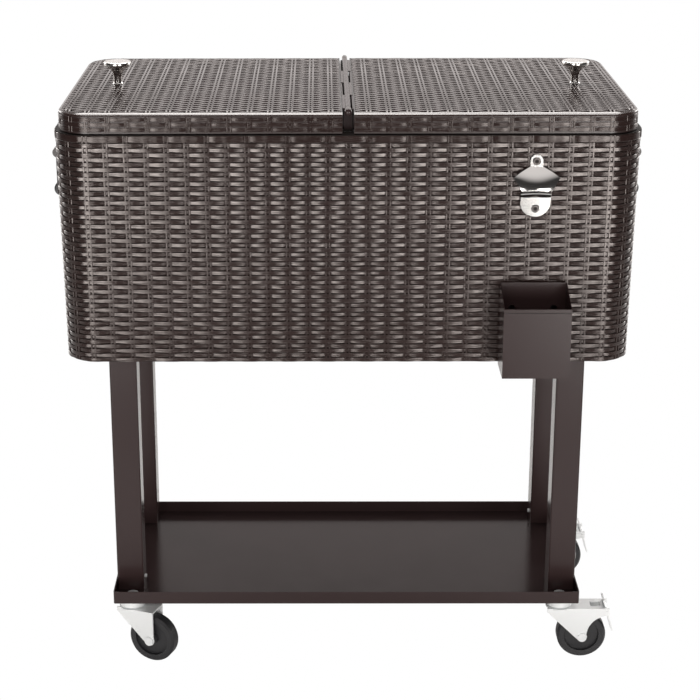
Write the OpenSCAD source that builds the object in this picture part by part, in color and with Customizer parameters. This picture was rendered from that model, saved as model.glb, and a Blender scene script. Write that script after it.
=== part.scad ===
// Rolling patio cooler: an insulated tub in a woven-look shell on four legs, with two
// centre-hinged lids, a shelf tray, casters, side handles, a bottle opener and a cap catcher.
// Millimetres. +Z is up, -Y is the front. The origin lies on the floor at the middle of the
// outline. Pieces are drawn about the tub's own middle, and placed() moves them all by tub_y.

/* [Tub] */
// Width of the tub wall at its top, without the weave
tub_w = 841; // [760:1:920]
// Depth of the tub wall at its top, without the weave
tub_d = 441; // [400:1:500]
// Height of the tub wall, up to the rim band
tub_h = 331.5; // [280:0.5:400]
// How far each wall leans in at its foot
tub_draft = 4.5; // [2:0.5:8]
// Corner radius of the tub, seen from above
tub_r = 50; // [40:1:70]
// Thickness of the moulded outer wall
shell_t = 3; // [2.5:0.5:4]
// Width of the inward flange at the foot of the outer wall
foot_flange_w = 12; // [8:1:20]
// Thickness of the insulation in the walls
foam_t = 32; // [25:1:45]
// Thickness of the insulation under the liner
floor_foam_t = 45; // [35:1:60]
// Thickness of the inner liner
liner_t = 2.5; // [2:0.5:4]
// Corner radius of the liner, seen from above
liner_r = 20; // [16:1:34]
// Width of the liner's lip on top of the rim
liner_lip_w = 14; // [10:1:20]
// Thickness of the liner's lip
liner_lip_t = 2; // [1.5:0.5:3]
// Height of the rim band
rim_h = 11.5; // [9:0.5:16]
// How far the rim band stands proud of the wall
rim_out = 2.5; // [1:0.5:5]
// Height of the woven surface over the outer wall
weave_t = 1.8; // [1:0.1:3]
// Thickness of the steel base panel
panel_t = 1.5; // [1:0.5:3]

/* [Lids] */
// How far the lid edges lie inside the tub wall line
lid_inset = 4.5; // [2:0.5:8]
// Height of a lid
lid_h = 28.5; // [24:0.5:40]
// Gap between the two lids
lid_gap = 16; // [14:0.5:24]
// Gap between the rim and a lid
seal_gap = 1.5; // [1:0.1:3]
// Radius of the rolled edge round the top of a lid
lid_edge_r = 4; // [2:0.5:6]
// Thickness of the lid's outer skin
lid_skin_t = 3; // [2:0.5:4]
// Thickness of the lid's inner panel
lid_panel_t = 2; // [1.5:0.5:3]
// How deep the lid's inner panel plugs into the tub
plug_h = 8; // [4:1:14]
// Gap round that plug
plug_gap = 3; // [2:0.5:6]
// Width of the lid seal
seal_w = 6; // [4:0.5:8]

/* [Hinge] */
// Radius of the hinge rod
rod_r = 2.5; // [2:0.5:3]
// Outer radius of the hinge knuckles
knuckle_r = 4.2; // [3.8:0.1:5]
// Number of knuckles along the rod, shared by the two lids
knuckle_n = 4; // [4:2:8]
// Gap between neighbouring knuckles
knuckle_gap = 0.6; // [0.4:0.1:1]
// Height of the rod's axis over the lid tops
rod_rise = 1.5; // [0.5:0.5:3]
// Thickness of the hinge leaves
leaf_t = 1.5; // [1:0.5:2]
// Thickness of the posts that carry the rod
post_t = 4; // [3:0.5:6]
// Length of the caps on the ends of the rod
rod_cap_l = 20; // [12:1:26]
// Width of the centre bar under the lids
bar_w = 44; // [36:1:60]
// Height of the centre bar
bar_h = 22; // [16:1:30]
// Width of the tabs that the centre bar hangs by
tab_w = 14; // [10:0.5:15]
// Thickness of those tabs
tab_t = 3; // [2:0.5:4]

/* [Knobs] */
// Radius of a knob's top
knob_r = 20.5; // [16:0.5:26]
// Height of a knob
knob_h = 36; // [28:1:40]
// Radius of a knob's stem
knob_stem_r = 6; // [5:0.5:8]
// Distance from a lid's outer end to its knob
knob_inset = 67; // [50:1:110]

/* [Handles] */
// Distance between the outer ends of a handle's two eyes
handle_span = 148; // [120:1:180]
// Drop from the pivots to the grip
handle_drop = 62; // [50:1:70]
// Radius of the grip
grip_r = 11; // [9:0.5:11]
// Radius of the handle's wire
wire_r = 4; // [3:0.5:5]
// Distance from the tub wall to the pivots
handle_off = 15; // [15:0.5:25]
// Distance from the rim band down to the pivots
handle_low = 48; // [34:1:110]
// Thickness of the bracket plates and eyes
bracket_t = 8; // [5:1:10]

/* [Legs and tray] */
// Side of the square leg tube
leg_size = 42; // [36:1:50]
// Wall of the leg tube
leg_t = 1.5; // [1:0.5:2.5]
// Length of a leg, from the tray floor to the base panel
leg_len = 414; // [350:1:480]
// Distance from the tub's front or back to the legs' outer faces
leg_in = 76.5; // [62:0.5:90]
// Side of the plate on top of a leg
leg_plate = 66; // [62:1:74]
// Distance from the tub's side to the tray's side
tray_in = 56.5; // [42:0.5:80]
// Depth of the tray beyond the depth over the legs
tray_more = 52; // [44:1:80]
// Height of the tray's lip
tray_h = 20; // [15:1:30]
// Thickness of the tray's sheet
tray_t = 1.5; // [1:0.5:2.5]
// How far the tray's middle lies in front of the tub's
tray_forward = 19.5; // [10:0.5:22]
// Height of the foot inserts in the legs
insert_h = 68; // [62:1:90]
// Height over the tray floor of the domed cross bolts
bolt_high = 51; // [40:1:54]
// Height over the tray floor of the plain cross bolts
bolt_low = 14; // [12:1:24]

/* [Casters] */
// Height of a caster, from the floor to the tray
caster_h = 104; // [100:1:115]
// Diameter of a wheel
wheel_d = 77; // [70:1:80]
// Width of a wheel
wheel_w = 25; // [20:1:28]
// How far a wheel trails behind its swivel
trail = 36; // [28:1:42]
// Distance from the tray's side to a swivel
caster_in_x = 27; // [24:1:40]
// Distance from the tray's front or back to a swivel
caster_in_y = 29.7; // [26:0.1:31]
// Radius of the swivel's bearing cup
race_r = 20; // [18:0.5:22]
// Height of the bearing cup
race_h = 13.5; // [10:0.5:16]
// Thickness of the fork's sheet
fork_t = 2.5; // [2:0.5:3]
// Radius of the axle
axle_r = 4; // [3:0.5:5]
// Distance from the axle to the brake pedal's pin, away from the swivel
pedal_off = 38; // [36:1:44]
// How far the front left caster is turned from the others
caster_turn = 22; // [0:1:45]

/* [Opener] */
// Distance from the tub's middle to the opener
opener_x = 268; // [240:1:290]
// Distance from the rim band down to the opener's lower screw
opener_low = 95.5; // [92:0.5:150]
// Distance between the opener's two screws
opener_pitch = 69.5; // [60:0.5:80]
// Width of the opener's plate
opener_w = 43.5; // [38:0.5:50]
// Width of the opener's hood
hood_w = 66; // [54:1:80]
// How far the hood stands out
hood_out = 26; // [20:1:30]
// Height of the hood
hood_h = 31; // [31:1:34]

/* [Cap catcher] */
// Distance from the tub's middle to the catcher
catcher_x = 270; // [240:1:290]
// Width of the catcher
catcher_w = 97; // [80:1:110]
// Depth of the catcher
catcher_d = 65; // [50:1:80]
// Height of the catcher's front
catcher_h = 105; // [90:1:120]
// Height of its back plate
catcher_back_h = 125.5; // [121:0.5:130]
// Thickness of its sheet
catcher_t = 1.2; // [1:0.1:2]
// How far the catcher lifts before it comes off its screws
catcher_lift = 12; // [10:1:15]

/* [Drain] */
// Outer radius of the drain spout
drain_r = 12; // [10:0.5:15]
// Bore radius of the drain spout
drain_bore_r = 8.5; // [6:0.5:9]
// Length of the spout below the base panel
drain_l = 30; // [26:1:36]
// Distance of the drain from the tub's middle, sideways
drain_x = 250; // [150:1:270]
// Distance of the drain from the tub's middle, towards the back
drain_y = 60; // [20:1:110]

/* [Clearances] */
// Gap between pieces that sit together
seat = 0.3; // [0.1:0.1:0.5]
// Radial clearance of turning fits
fit = 0.05; // [0.02:0.01:0.1]

/* [Hidden] */
$fn = 48;
eps = 0.01;

// Heights, from the floor up
tray_z = caster_h;
shelf_z = tray_z + tray_t;
leg_top_z = shelf_z + leg_len;
tub_z = leg_top_z - shell_t;
panel_top_z = leg_top_z + panel_t;
rim_z = tub_z + tub_h;
rim_top_z = rim_z + rim_h;
lip_z = rim_top_z - liner_lip_t;
flange_z = lip_z - liner_lip_t;
liner_z = panel_top_z + floor_foam_t;
lid_z = rim_top_z + seal_gap;
lid_top_z = lid_z + lid_h;
rod_z = lid_top_z + rod_rise;

// Plan sizes of the tub
wall_x = tub_w / 2;
wall_y = tub_d / 2;
liner_in_x = wall_x - shell_t - foam_t - liner_t;
liner_in_y = wall_y - shell_t - foam_t - liner_t;
lip_x = liner_in_x + liner_lip_w;
lip_y = liner_in_y + liner_lip_w;

// Lids
lid_half_gap = lid_gap / 2;
lid_x = wall_x - lid_inset;
lid_y = wall_y - lid_inset / 3;
lid_r = tub_r - lid_inset;
knob_x = lid_x - knob_inset;
knob_bolt_r = 2.5;
knob_hole_l = 16;
knob_foot_r = knob_stem_r + 2;
knob_foot_h = 3;
knob_edge = 2;
knob_top_t = 6;
plug_y = liner_in_y - plug_gap;
plug_x0 = bar_w / 2 + 2 * plug_gap;
plug_x1 = liner_in_x - plug_gap;
plug_r = liner_r - plug_gap;
seal_h = seal_gap - seat;
seal_x0 = lid_half_gap + leaf_t + 2;
seal_in = (liner_lip_w - seal_w) / 2;

// Hinge
post_y = liner_in_y + liner_lip_w - post_t;
post_w = lid_gap - 4;
post_foot_l = 22;
post_foot_t = 2.5;
post_screw_r = 2;
post_screw_in = 5;
post_screw_up = 6;
rod_half = post_y + post_t / 2 + rod_cap_l;
knuckle_room = 2 * (post_y - post_t / 2 - knuckle_gap);
knuckle_pitch = knuckle_room / knuckle_n;

// Legs and tray
tray_w = tub_w - 2 * tray_in;
leg_span = tub_d - 2 * leg_in;
tray_d = leg_span + tray_more;
leg_x = tray_w / 2 - tray_t - seat - leg_size / 2;
leg_y = (leg_span - leg_size) / 2;
leg_corner_r = 3;
leg_bolt_r = 3;
leg_bolt_in = leg_plate / 2 - 6;
leg_head_r = 5.5;
leg_head_h = 4;
leg_nut_r = 5.8;
leg_nut_h = 5;
leg_nut_room = 1;
tray_bolt_head_r = 7.5;
tray_bolt_head_h = 5;
insert_bolt_r = 4;
cross_bolt_r = 3;
cap_dome_r = 12;
cap_dome_h = 3.5;
cross_bolt_end = 2.5;
tray_bolt_in = bolt_low - cross_bolt_r - 2;
tray_y = -tray_forward;

// Casters
swivel_x = tray_w / 2 - caster_in_x;
swivel_y = tray_d / 2 - caster_in_y;
axle_z = wheel_d / 2;
race_z = tray_z - race_h;
ball_r = race_r - 4;
ball_h = 2.2;
fork_top_z = race_z - ball_h - seat;
fork_low_z = fork_top_z - fork_t;
fork_half = wheel_w / 2 + 2.5 + fork_t;
fork_tip_r = 8;
caster_bolt_r = 5;
caster_bolt_head_r = 9;
caster_nut_r = 9;
caster_nut_h = 6;
tread_t = 11;
hub_r = 10;
tread_round = 3;
tread_crown = 5;
web_t = wheel_w * 0.4;
axle_head_r = axle_r + 3;
axle_head_h = 3;
axle_nut_h = 4;
cheek_h = 6;
pedal_x = trail + pedal_off;
pedal_z = fork_top_z - cheek_h;
pedal_pin_r = 2;
pedal_tube_r = 3.2;
pedal_gap_h = 6;
pedal_t = 2.5;
pedal_w = 26;
pedal_up = 19;
pedal_down = 36;
pedal_lean = 16;
brake_tail = pedal_x + 2 * pedal_pin_r;
brake_tail_h = 12;
bridge_end = pedal_x - 5;
brake_slot = 16;
brake_slot_in = 4;

// Front fittings
screw_r = 2;
screw_head_r = 4.5;
screw_head_h = 2.5;
screw_l = 16;
opener_z = rim_z - opener_low;
opener_top_z = opener_z + opener_pitch;
opener_t = 3.5;
opener_sink = 1.2;
tab_r = 10;
plate_foot = 12.5;
hood_top_z = opener_top_z - 8;
hood_tip_z = hood_top_z - 14.4;
hood_foot_z = hood_top_z - hood_h;
hood_t = 3;
hood_shoulder_x = hood_w / 2 - 12;
hood_shoulder_z = hood_tip_z + 9;
hood_arch_r = 62;
hood_arch_h = 2;
tooth_z = opener_z + 15;
tooth_h = 8;
tooth_out = 8;
tooth_slope = 4;
catcher_z = tub_z - 0.8;
catcher_screw_x = catcher_w / 2 - 18;
catcher_screw_z = catcher_z + catcher_h - 18;
keyhole_r = screw_head_r + 0.8;
skin_gap = 0.2;
skin_y = -wall_y - weave_t - skin_gap;
catcher_back_y = skin_y;
catcher_front_y = catcher_back_y - catcher_d;
catcher_hem_h = 5;
catcher_hem_out = 1;

// Handles
pivot_z = rim_z - handle_low;
pivot_x = wall_x + handle_off;
grip_z = pivot_z - handle_drop;
eye_r = 8;
eye_t = 7;
eye_y = handle_span / 2 - eye_t;
lug_y = eye_y - bracket_t - seat;
pin_r = 3.5;
pin_head_r = 6.5;
pin_head_h = 3;
plate_x = wall_x + weave_t + skin_gap;
plate_t = 3;
plate_h = 46;
plate_w = 26;
plate_screw_in = 6;
screw_room = 0.3;
grip_half = lug_y - 6;
grip_round = 2;
arm_r = wire_r - 0.6;

// Drain
drain_flange_r = drain_r + 8;
drain_flange_t = 2.5;
drain_seal_t = 1.5;
drain_nut_r = drain_r + 7;
drain_nut_h = 8;
drain_cap_h = 16;
drain_cap_t = 2.5;
drain_rib = 1;
drain_end_z = leg_top_z - drain_l;

// The whole outline is centred between the catcher's front and the rim's back
tub_y = -(catcher_front_y - catcher_hem_out + wall_y + rim_out) / 2;

woven = "#5c5452";
painted = "#493f3f";
foam_white = "#e8e2cf";
liner_white = "#e9ebec";
chrome = "#dfe3e6";
zinc = "#dde2e2";
steel = "#b9bcbe";
black = "#1d1d1f";

// Moves everything from the tub's middle to the middle of the whole outline
module placed() {
    translate([0, tub_y, 0]) children();
}

// Rectangle with round corners, centred
module round_rect(w, d, r) {
    square([w - 2 * r, d], center = true);
    square([w, d - 2 * r], center = true);
    for (sx = [-1, 1], sy = [-1, 1])
        translate([sx * (w / 2 - r), sy * (d / 2 - r)]) circle(r);
}

module round_box(w, d, r, h) {
    linear_extrude(height = h) round_rect(w, d, r);
}

// The tub's drafted body, drawn in by inset all round, between two heights. Its flat sides
// lean in, and its corners are parts of cones.
module drafted(inset, z0, z1) {
    lean = tub_draft / tub_h;
    r0 = tub_r - inset - lean * (rim_z - z0);
    r1 = tub_r - inset - lean * (rim_z - z1);
    flat_x = wall_x - tub_r;
    flat_y = wall_y - tub_r;
    profile = [[0, z0], [r0, z0], [r1, z1], [0, z1]];
    translate([-flat_x, -flat_y, z0]) cube([2 * flat_x, 2 * flat_y, z1 - z0]);
    for (turn = [0, 180]) rotate([0, 0, turn]) {
        translate([-flat_x, flat_y, 0]) rotate([90, 0, 90])
            linear_extrude(height = 2 * flat_x) polygon(profile);
        translate([flat_x, flat_y, 0]) rotate([90, 0, 0])
            linear_extrude(height = 2 * flat_y) polygon(profile);
        for (m = [0, 1]) mirror([m, 0, 0])
            translate([flat_x, flat_y, 0]) rotate_extrude(angle = 90) polygon(profile);
    }
}

module along_x(l, r) {
    rotate([0, 90, 0]) cylinder(h = l, r = r);
}

module along_y(l, r) {
    rotate([-90, 0, 0]) cylinder(h = l, r = r);
}

// Copies what it holds to the left and to the right
module both_sides() {
    children();
    mirror([1, 0, 0]) children();
}

// Screw that enters the front wall along +Y, its head's underside at y
module wall_screw(x, z, y, l) {
    translate([x, y - screw_head_h, z]) along_y(screw_head_h, screw_head_r);
    translate([x, y, z]) along_y(l, screw_r);
}

// Places of the screws in the front wall
front_screws = [
    [opener_x, opener_z],
    [opener_x, opener_top_z],
    [catcher_x - catcher_screw_x, catcher_screw_z],
    [catcher_x + catcher_screw_x, catcher_screw_z]
];

module front_screw_holes() {
    for (s = front_screws)
        translate([s[0], -wall_y - 1, s[1]]) along_y(screw_l + 4, screw_r + fit);
}

// Places of the handle bracket screws on a side wall, as [y, z]
bracket_holes = [for (sy = [-1, 1], sz = [-1, 1])
    [sy * (lug_y + bracket_t / 2), pivot_z + sz * (plate_h / 2 - plate_screw_in)]];

module side_screw_holes() {
    both_sides()
        for (s = bracket_holes)
            translate([wall_x - screw_l - 2, s[0], s[1]]) along_x(screw_l + 4, screw_r + fit);
}

// Places of the bolts that hold the leg plates to the base panel
module at_leg_bolts() {
    for (sx = [-1, 1], sy = [-1, 1], bx = [-1, 1], by = [-1, 1])
        translate([sx * leg_x + bx * leg_bolt_in, sy * leg_y + by * leg_bolt_in, 0]) children();
}

module at_front_legs() {
    for (sx = [-1, 1]) translate([sx * leg_x, -leg_y, 0]) children();
}

module at_drain() {
    translate([drain_x, drain_y, 0]) children();
}

// Tub

module tub_shell() {
    color(woven)
    difference() {
        drafted(0, tub_z, rim_z);
        difference() {
            drafted(shell_t, tub_z - 1, rim_z + 1);
            translate([-tub_w, -tub_d, tub_z - 2]) cube([2 * tub_w, 2 * tub_d, shell_t + 2]);
        }
        translate([0, 0, tub_z - 1])
            round_box(tub_w - 2 * (shell_t + tub_draft + foot_flange_w),
                      tub_d - 2 * (shell_t + tub_draft + foot_flange_w),
                      tub_r - foot_flange_w, shell_t + 2);
        front_screw_holes();
        side_screw_holes();
    }
}

module tub_rim() {
    color(woven)
    difference() {
        translate([0, 0, rim_z]) round_box(tub_w + 2 * rim_out, tub_d + 2 * rim_out, tub_r + rim_out, rim_h);
        translate([0, 0, rim_z - 1])
            round_box(tub_w - 2 * shell_t, tub_d - 2 * shell_t, tub_r - shell_t, flange_z - rim_z + 1);
        translate([0, 0, rim_z])
            round_box(2 * (liner_in_x + liner_t + seat), 2 * (liner_in_y + liner_t + seat),
                      liner_r + liner_t + seat, rim_h + 1);
        translate([0, 0, lip_z])
            round_box(2 * (lip_x + seat), 2 * (lip_y + seat), liner_r + liner_lip_w + seat, rim_h);
    }
}

module tub_liner() {
    color(liner_white)
    difference() {
        union() {
            translate([0, 0, liner_z])
                round_box(2 * (liner_in_x + liner_t), 2 * (liner_in_y + liner_t),
                          liner_r + liner_t, rim_top_z - liner_z);
            translate([0, 0, lip_z])
                round_box(2 * lip_x, 2 * lip_y, liner_r + liner_lip_w, liner_lip_t);
        }
        translate([0, 0, liner_z + liner_t])
            round_box(2 * liner_in_x, 2 * liner_in_y, liner_r, rim_top_z - liner_z);
        at_drain() translate([0, 0, liner_z - 1]) cylinder(h = liner_t + 2, r = drain_r + seat);
    }
}

module tub_foam() {
    color(foam_white)
    difference() {
        drafted(shell_t + seat, panel_top_z, flange_z);
        translate([0, 0, liner_z])
            round_box(2 * (liner_in_x + liner_t + seat), 2 * (liner_in_y + liner_t + seat),
                      liner_r + liner_t + seat, rim_top_z - liner_z);
        at_drain() translate([0, 0, panel_top_z - 1]) cylinder(h = floor_foam_t + 2, r = drain_r + seat);
        at_leg_bolts()
            translate([0, 0, panel_top_z - 1])
                cylinder(h = leg_nut_h + 3 * leg_nut_room, r = leg_nut_r + leg_nut_room);
        front_screw_holes();
        side_screw_holes();
    }
}

module base_panel() {
    inset = shell_t + tub_draft + seat;
    color(painted)
    difference() {
        translate([0, 0, leg_top_z])
            round_box(tub_w - 2 * inset, tub_d - 2 * inset, tub_r - shell_t, panel_t);
        at_leg_bolts() translate([0, 0, leg_top_z - 1]) cylinder(h = panel_t + 2, r = leg_bolt_r + fit);
        at_drain() translate([0, 0, leg_top_z - 1]) cylinder(h = panel_t + 2, r = drain_r + seat);
    }
}

module post_screw_places() {
    for (sy = [-1, 1])
        translate([0, sy * (post_y + post_t / 2 - post_foot_l + post_screw_in), 0]) children();
}

module center_bar() {
    bar_l = 2 * (liner_in_y - seat);
    color(woven)
    difference() {
        union() {
            translate([-bar_w / 2, -bar_l / 2, rim_top_z - bar_h]) cube([bar_w, bar_l, bar_h]);
            translate([-tab_w / 2, -lip_y, rim_top_z]) cube([tab_w, 2 * lip_y, tab_t]);
        }
        post_screw_places()
            translate([0, 0, rim_top_z - bar_h + post_screw_up - 2])
                cylinder(h = bar_h + tab_t, r = post_screw_r + fit);
    }
}

// Hinge

module hinge_posts() {
    foot_z = rim_top_z + tab_t;
    color(steel)
    for (sy = [-1, 1])
        difference() {
            union() {
                translate([-post_w / 2, sy * post_y - post_t / 2, foot_z])
                    cube([post_w, post_t, rod_z - foot_z]);
                translate([0, sy * post_y - post_t / 2, rod_z]) along_y(post_t, knuckle_r);
                translate([-post_w / 2, sy * (post_y + (post_t - post_foot_l) / 2) - post_foot_l / 2, foot_z])
                    cube([post_w, post_foot_l, post_foot_t]);
            }
            translate([0, sy * post_y - post_t, rod_z]) along_y(2 * post_t, rod_r + fit);
            post_screw_places()
                translate([0, 0, foot_z - 1]) cylinder(h = post_foot_t + 2, r = post_screw_r + fit);
        }
}

module post_screws() {
    top = rim_top_z + tab_t + post_foot_t;
    color(steel)
    post_screw_places() {
        translate([0, 0, top]) cylinder(h = screw_head_h, r = screw_head_r);
        translate([0, 0, top - bar_h + post_screw_up])
            cylinder(h = bar_h - post_screw_up + eps, r = post_screw_r);
    }
}

// Rod with a push-on cap at each end
module hinge_rod() {
    color(steel) translate([0, -rod_half + 2, rod_z]) along_y(2 * rod_half - 4, rod_r);
    color(steel)
    for (sy = [0, 1]) mirror([0, sy, 0])
        translate([0, post_y + post_t / 2 + seat, rod_z])
        difference() {
            along_y(rod_cap_l - seat, knuckle_r);
            translate([0, -1, 0]) along_y(rod_cap_l - 1 - seat, rod_r + fit);
        }
}

// Knuckles number 0, 2.. belong to the left leaf, and 1, 3.. to the right leaf
module hinge_leaf(first) {
    length = 2 * (post_y - post_t / 2 - knuckle_gap);
    x0 = -lid_half_gap;
    color(steel)
    difference() {
        union() {
            translate([x0, -length / 2, lid_z + 2]) cube([leaf_t, length, rod_z - lid_z - 2]);
            for (i = [first : 2 : knuckle_n - 1]) {
                y0 = -knuckle_room / 2 + i * knuckle_pitch + knuckle_gap / 2;
                seg = knuckle_pitch - knuckle_gap;
                translate([0, y0, rod_z]) along_y(seg, knuckle_r);
                translate([x0, y0, rod_z - leaf_t / 2]) cube([-x0, seg, leaf_t]);
            }
        }
        translate([0, -length, rod_z]) along_y(2 * length, rod_r + fit);
    }
}

// Lids. The left one is drawn, and the right one is its mirror image.

module lid_edge_profile(r, h, e) {
    square([r, h - e]);
    square([r - e, h]);
    translate([r - e, h - e]) intersection() {
        circle(e);
        square([e, e]);
    }
}

// Slab with a rolled top edge on three sides, round at its two outer corners
module lid_slab(x0, x1, y, r, h, e) {
    translate([x0 + r, -y + r, 0]) cube([x1 - x0 - r, 2 * (y - r), h]);
    for (sy = [0, 1]) mirror([0, sy, 0]) {
        translate([x0 + r, y - r, 0]) rotate([90, 0, 90])
            linear_extrude(height = x1 - x0 - r) lid_edge_profile(r, h, e);
        translate([x0 + r, y - r, 0]) rotate([0, 0, 90])
            rotate_extrude(angle = 90) lid_edge_profile(r, h, e);
    }
    translate([x0 + r, y - r, 0]) rotate([90, 0, 0]) mirror([1, 0, 0])
        linear_extrude(height = 2 * (y - r)) lid_edge_profile(r, h, e);
}

// Plain slab, round at its two outer corners
module lid_block(x0, x1, y, r, h) {
    linear_extrude(height = h) {
        translate([x0 + r, -y]) square([x1 - x0 - r, 2 * y]);
        translate([x0, -y + r]) square([x1 - x0, 2 * (y - r)]);
        for (sy = [-1, 1]) translate([x0 + r, sy * (y - r)]) circle(r);
    }
}

lid_end = -lid_half_gap - seat;
knob_seat_z = lid_top_z - lid_skin_t;

module lid_shell() {
    color(woven)
    difference() {
        translate([0, 0, lid_z]) lid_slab(-lid_x, lid_end, lid_y, lid_r, lid_h, lid_edge_r);
        translate([0, 0, lid_z - 1])
            lid_block(-lid_x + lid_skin_t, lid_end - lid_skin_t, lid_y - lid_skin_t,
                      lid_r - lid_skin_t, lid_h - lid_skin_t + 1);
        translate([-knob_x, 0, lid_z]) cylinder(h = 2 * lid_h, r = knob_bolt_r + fit);
    }
}

module lid_foam() {
    g = lid_skin_t + seat;
    color(foam_white)
    difference() {
        union() {
            translate([0, 0, lid_z + lid_panel_t])
                lid_block(-lid_x + g, lid_end - g, lid_y - g, lid_r - g,
                          lid_h - lid_skin_t - lid_panel_t - seat);
            translate([0, 0, lid_z - plug_h + lid_panel_t])
                lid_block(-plug_x1 + lid_panel_t + seat, -plug_x0 - lid_panel_t - seat,
                          plug_y - lid_panel_t - seat, plug_r - lid_panel_t, plug_h + eps);
        }
        translate([-knob_x, 0, knob_seat_z - 3 * screw_head_h])
            cylinder(h = lid_h, r = 1.5 * screw_head_r);
    }
}

module lid_panel() {
    g = lid_skin_t + seat;
    color(liner_white)
    difference() {
        union() {
            translate([0, 0, lid_z])
                lid_block(-lid_x + g, lid_end - g, lid_y - g, lid_r - g, lid_panel_t);
            translate([0, 0, lid_z - plug_h])
                lid_block(-plug_x1, -plug_x0, plug_y, plug_r, plug_h);
        }
        translate([0, 0, lid_z - plug_h + lid_panel_t])
            lid_block(-plug_x1 + lid_panel_t, -plug_x0 - lid_panel_t,
                      plug_y - lid_panel_t, plug_r - lid_panel_t, plug_h + lid_panel_t);
    }
}

module lid_seal() {
    outer = seal_in;
    color(black)
    translate([0, 0, lid_z - seal_h])
    difference() {
        lid_block(-lip_x + outer, -seal_x0, lip_y - outer, liner_r + liner_lip_w - outer, seal_h);
        translate([0, 0, -1])
            lid_block(-lip_x + outer + seal_w, -seal_x0 - seal_w, lip_y - outer - seal_w,
                      liner_r + liner_lip_w - outer - seal_w, seal_h + 2);
    }
}

// Trumpet-shaped knob: a slim stem that flares into a thick round top
function flare_r(t) = knob_stem_r + (knob_r - knob_stem_r) * pow(t, 4);

module knob() {
    flare_h = knob_h - knob_foot_h - knob_top_t;
    steps = 12;
    color(chrome)
    translate([-knob_x, 0, lid_top_z])
    difference() {
        rotate_extrude() polygon(concat(
            [[0, 0], [knob_foot_r, 0], [knob_foot_r, knob_foot_h / 2]],
            [for (i = [0 : steps]) [flare_r(i / steps), knob_foot_h + flare_h * i / steps]],
            [[knob_r, knob_h - 2 * knob_edge], [knob_r - knob_edge / 3, knob_h - knob_edge],
             [knob_r - 2 * knob_edge, knob_h - knob_edge / 4], [knob_r / 2, knob_h], [0, knob_h]]));
        translate([0, 0, -1]) cylinder(h = knob_hole_l + 1, r = knob_bolt_r + fit);
    }
}

module knob_screw() {
    color(steel)
    translate([-knob_x, 0, 0]) {
        translate([0, 0, knob_seat_z - screw_head_h]) cylinder(h = screw_head_h, r = screw_head_r);
        translate([0, 0, knob_seat_z - eps])
            cylinder(h = lid_skin_t + knob_hole_l - 1, r = knob_bolt_r);
    }
}

// Drain

module drain_spout() {
    flange_top = liner_z + liner_t + drain_flange_t;
    color(black)
    at_drain()
    difference() {
        union() {
            translate([0, 0, drain_end_z]) cylinder(h = flange_top - drain_end_z, r = drain_r);
            translate([0, 0, flange_top - drain_flange_t]) cylinder(h = drain_flange_t, r = drain_flange_r);
        }
        translate([0, 0, drain_end_z - 1]) cylinder(h = flange_top - drain_end_z + 2, r = drain_bore_r);
    }
}

module drain_ring(z, h, r) {
    at_drain() translate([0, 0, z])
    difference() {
        cylinder(h = h, r = r);
        translate([0, 0, -1]) cylinder(h = h + 2, r = drain_r + fit);
    }
}

module drain_gasket() {
    color(black) drain_ring(leg_top_z - drain_seal_t, drain_seal_t, drain_nut_r);
}

module drain_nut() {
    color(black)
    at_drain() translate([0, 0, leg_top_z - drain_seal_t - drain_nut_h])
    difference() {
        cylinder(h = drain_nut_h, r = drain_nut_r, $fn = 6);
        translate([0, 0, -1]) cylinder(h = drain_nut_h + 2, r = drain_r + fit);
    }
}

module drain_cap() {
    color(black)
    at_drain() translate([0, 0, drain_end_z - drain_cap_t - seat])
    difference() {
        union() {
            cylinder(h = drain_cap_h, r = drain_r + drain_cap_t);
            for (a = [0 : 30 : 330]) rotate([0, 0, a])
                translate([drain_r + drain_cap_t - drain_rib / 2, -drain_rib, drain_rib])
                    cube([1.5 * drain_rib, 2 * drain_rib, drain_cap_h - 2 * drain_rib]);
        }
        translate([0, 0, drain_cap_t]) cylinder(h = drain_cap_h, r = drain_r + fit);
    }
}

// Legs and tray

// Which legs have a high cross bolt with a domed cap, and the height of each leg's bolt. The
// left and the right pair of legs are the same two parts, turned round, so they cross over.
function domed(sx, sy) = sx * sy < 0;
function cross_z(sx, sy) = shelf_z + (domed(sx, sy) ? bolt_high : bolt_low);

module leg(sx, sy) {
    color(painted)
    translate([sx * leg_x, sy * leg_y, 0])
    difference() {
        union() {
            translate([0, 0, shelf_z]) round_box(leg_size, leg_size, leg_corner_r, leg_len);
            translate([0, 0, leg_top_z - shell_t]) round_box(leg_plate, leg_plate, leg_corner_r, shell_t);
        }
        translate([0, 0, shelf_z - 1])
            round_box(leg_size - 2 * leg_t, leg_size - 2 * leg_t, leg_corner_r - leg_t, leg_len - shell_t + 1);
        for (bx = [-1, 1], by = [-1, 1])
            translate([bx * leg_bolt_in, by * leg_bolt_in, leg_top_z - shell_t - 1])
                cylinder(h = shell_t + 2, r = leg_bolt_r + fit);
        translate([-leg_size, 0, cross_z(sx, sy)]) along_x(2 * leg_size, cross_bolt_r + fit);
    }
}

module leg_bolts() {
    color(steel)
    at_leg_bolts() {
        translate([0, 0, leg_top_z - shell_t - leg_head_h]) cylinder(h = leg_head_h, r = leg_head_r, $fn = 6);
        translate([0, 0, leg_top_z - shell_t - eps])
            cylinder(h = shell_t + panel_t + leg_nut_h, r = leg_bolt_r);
        translate([0, 0, panel_top_z])
        difference() {
            cylinder(h = leg_nut_h - leg_nut_room, r = leg_nut_r, $fn = 6);
            translate([0, 0, -1]) cylinder(h = leg_nut_h + 1, r = leg_bolt_r + fit);
        }
    }
}

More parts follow.
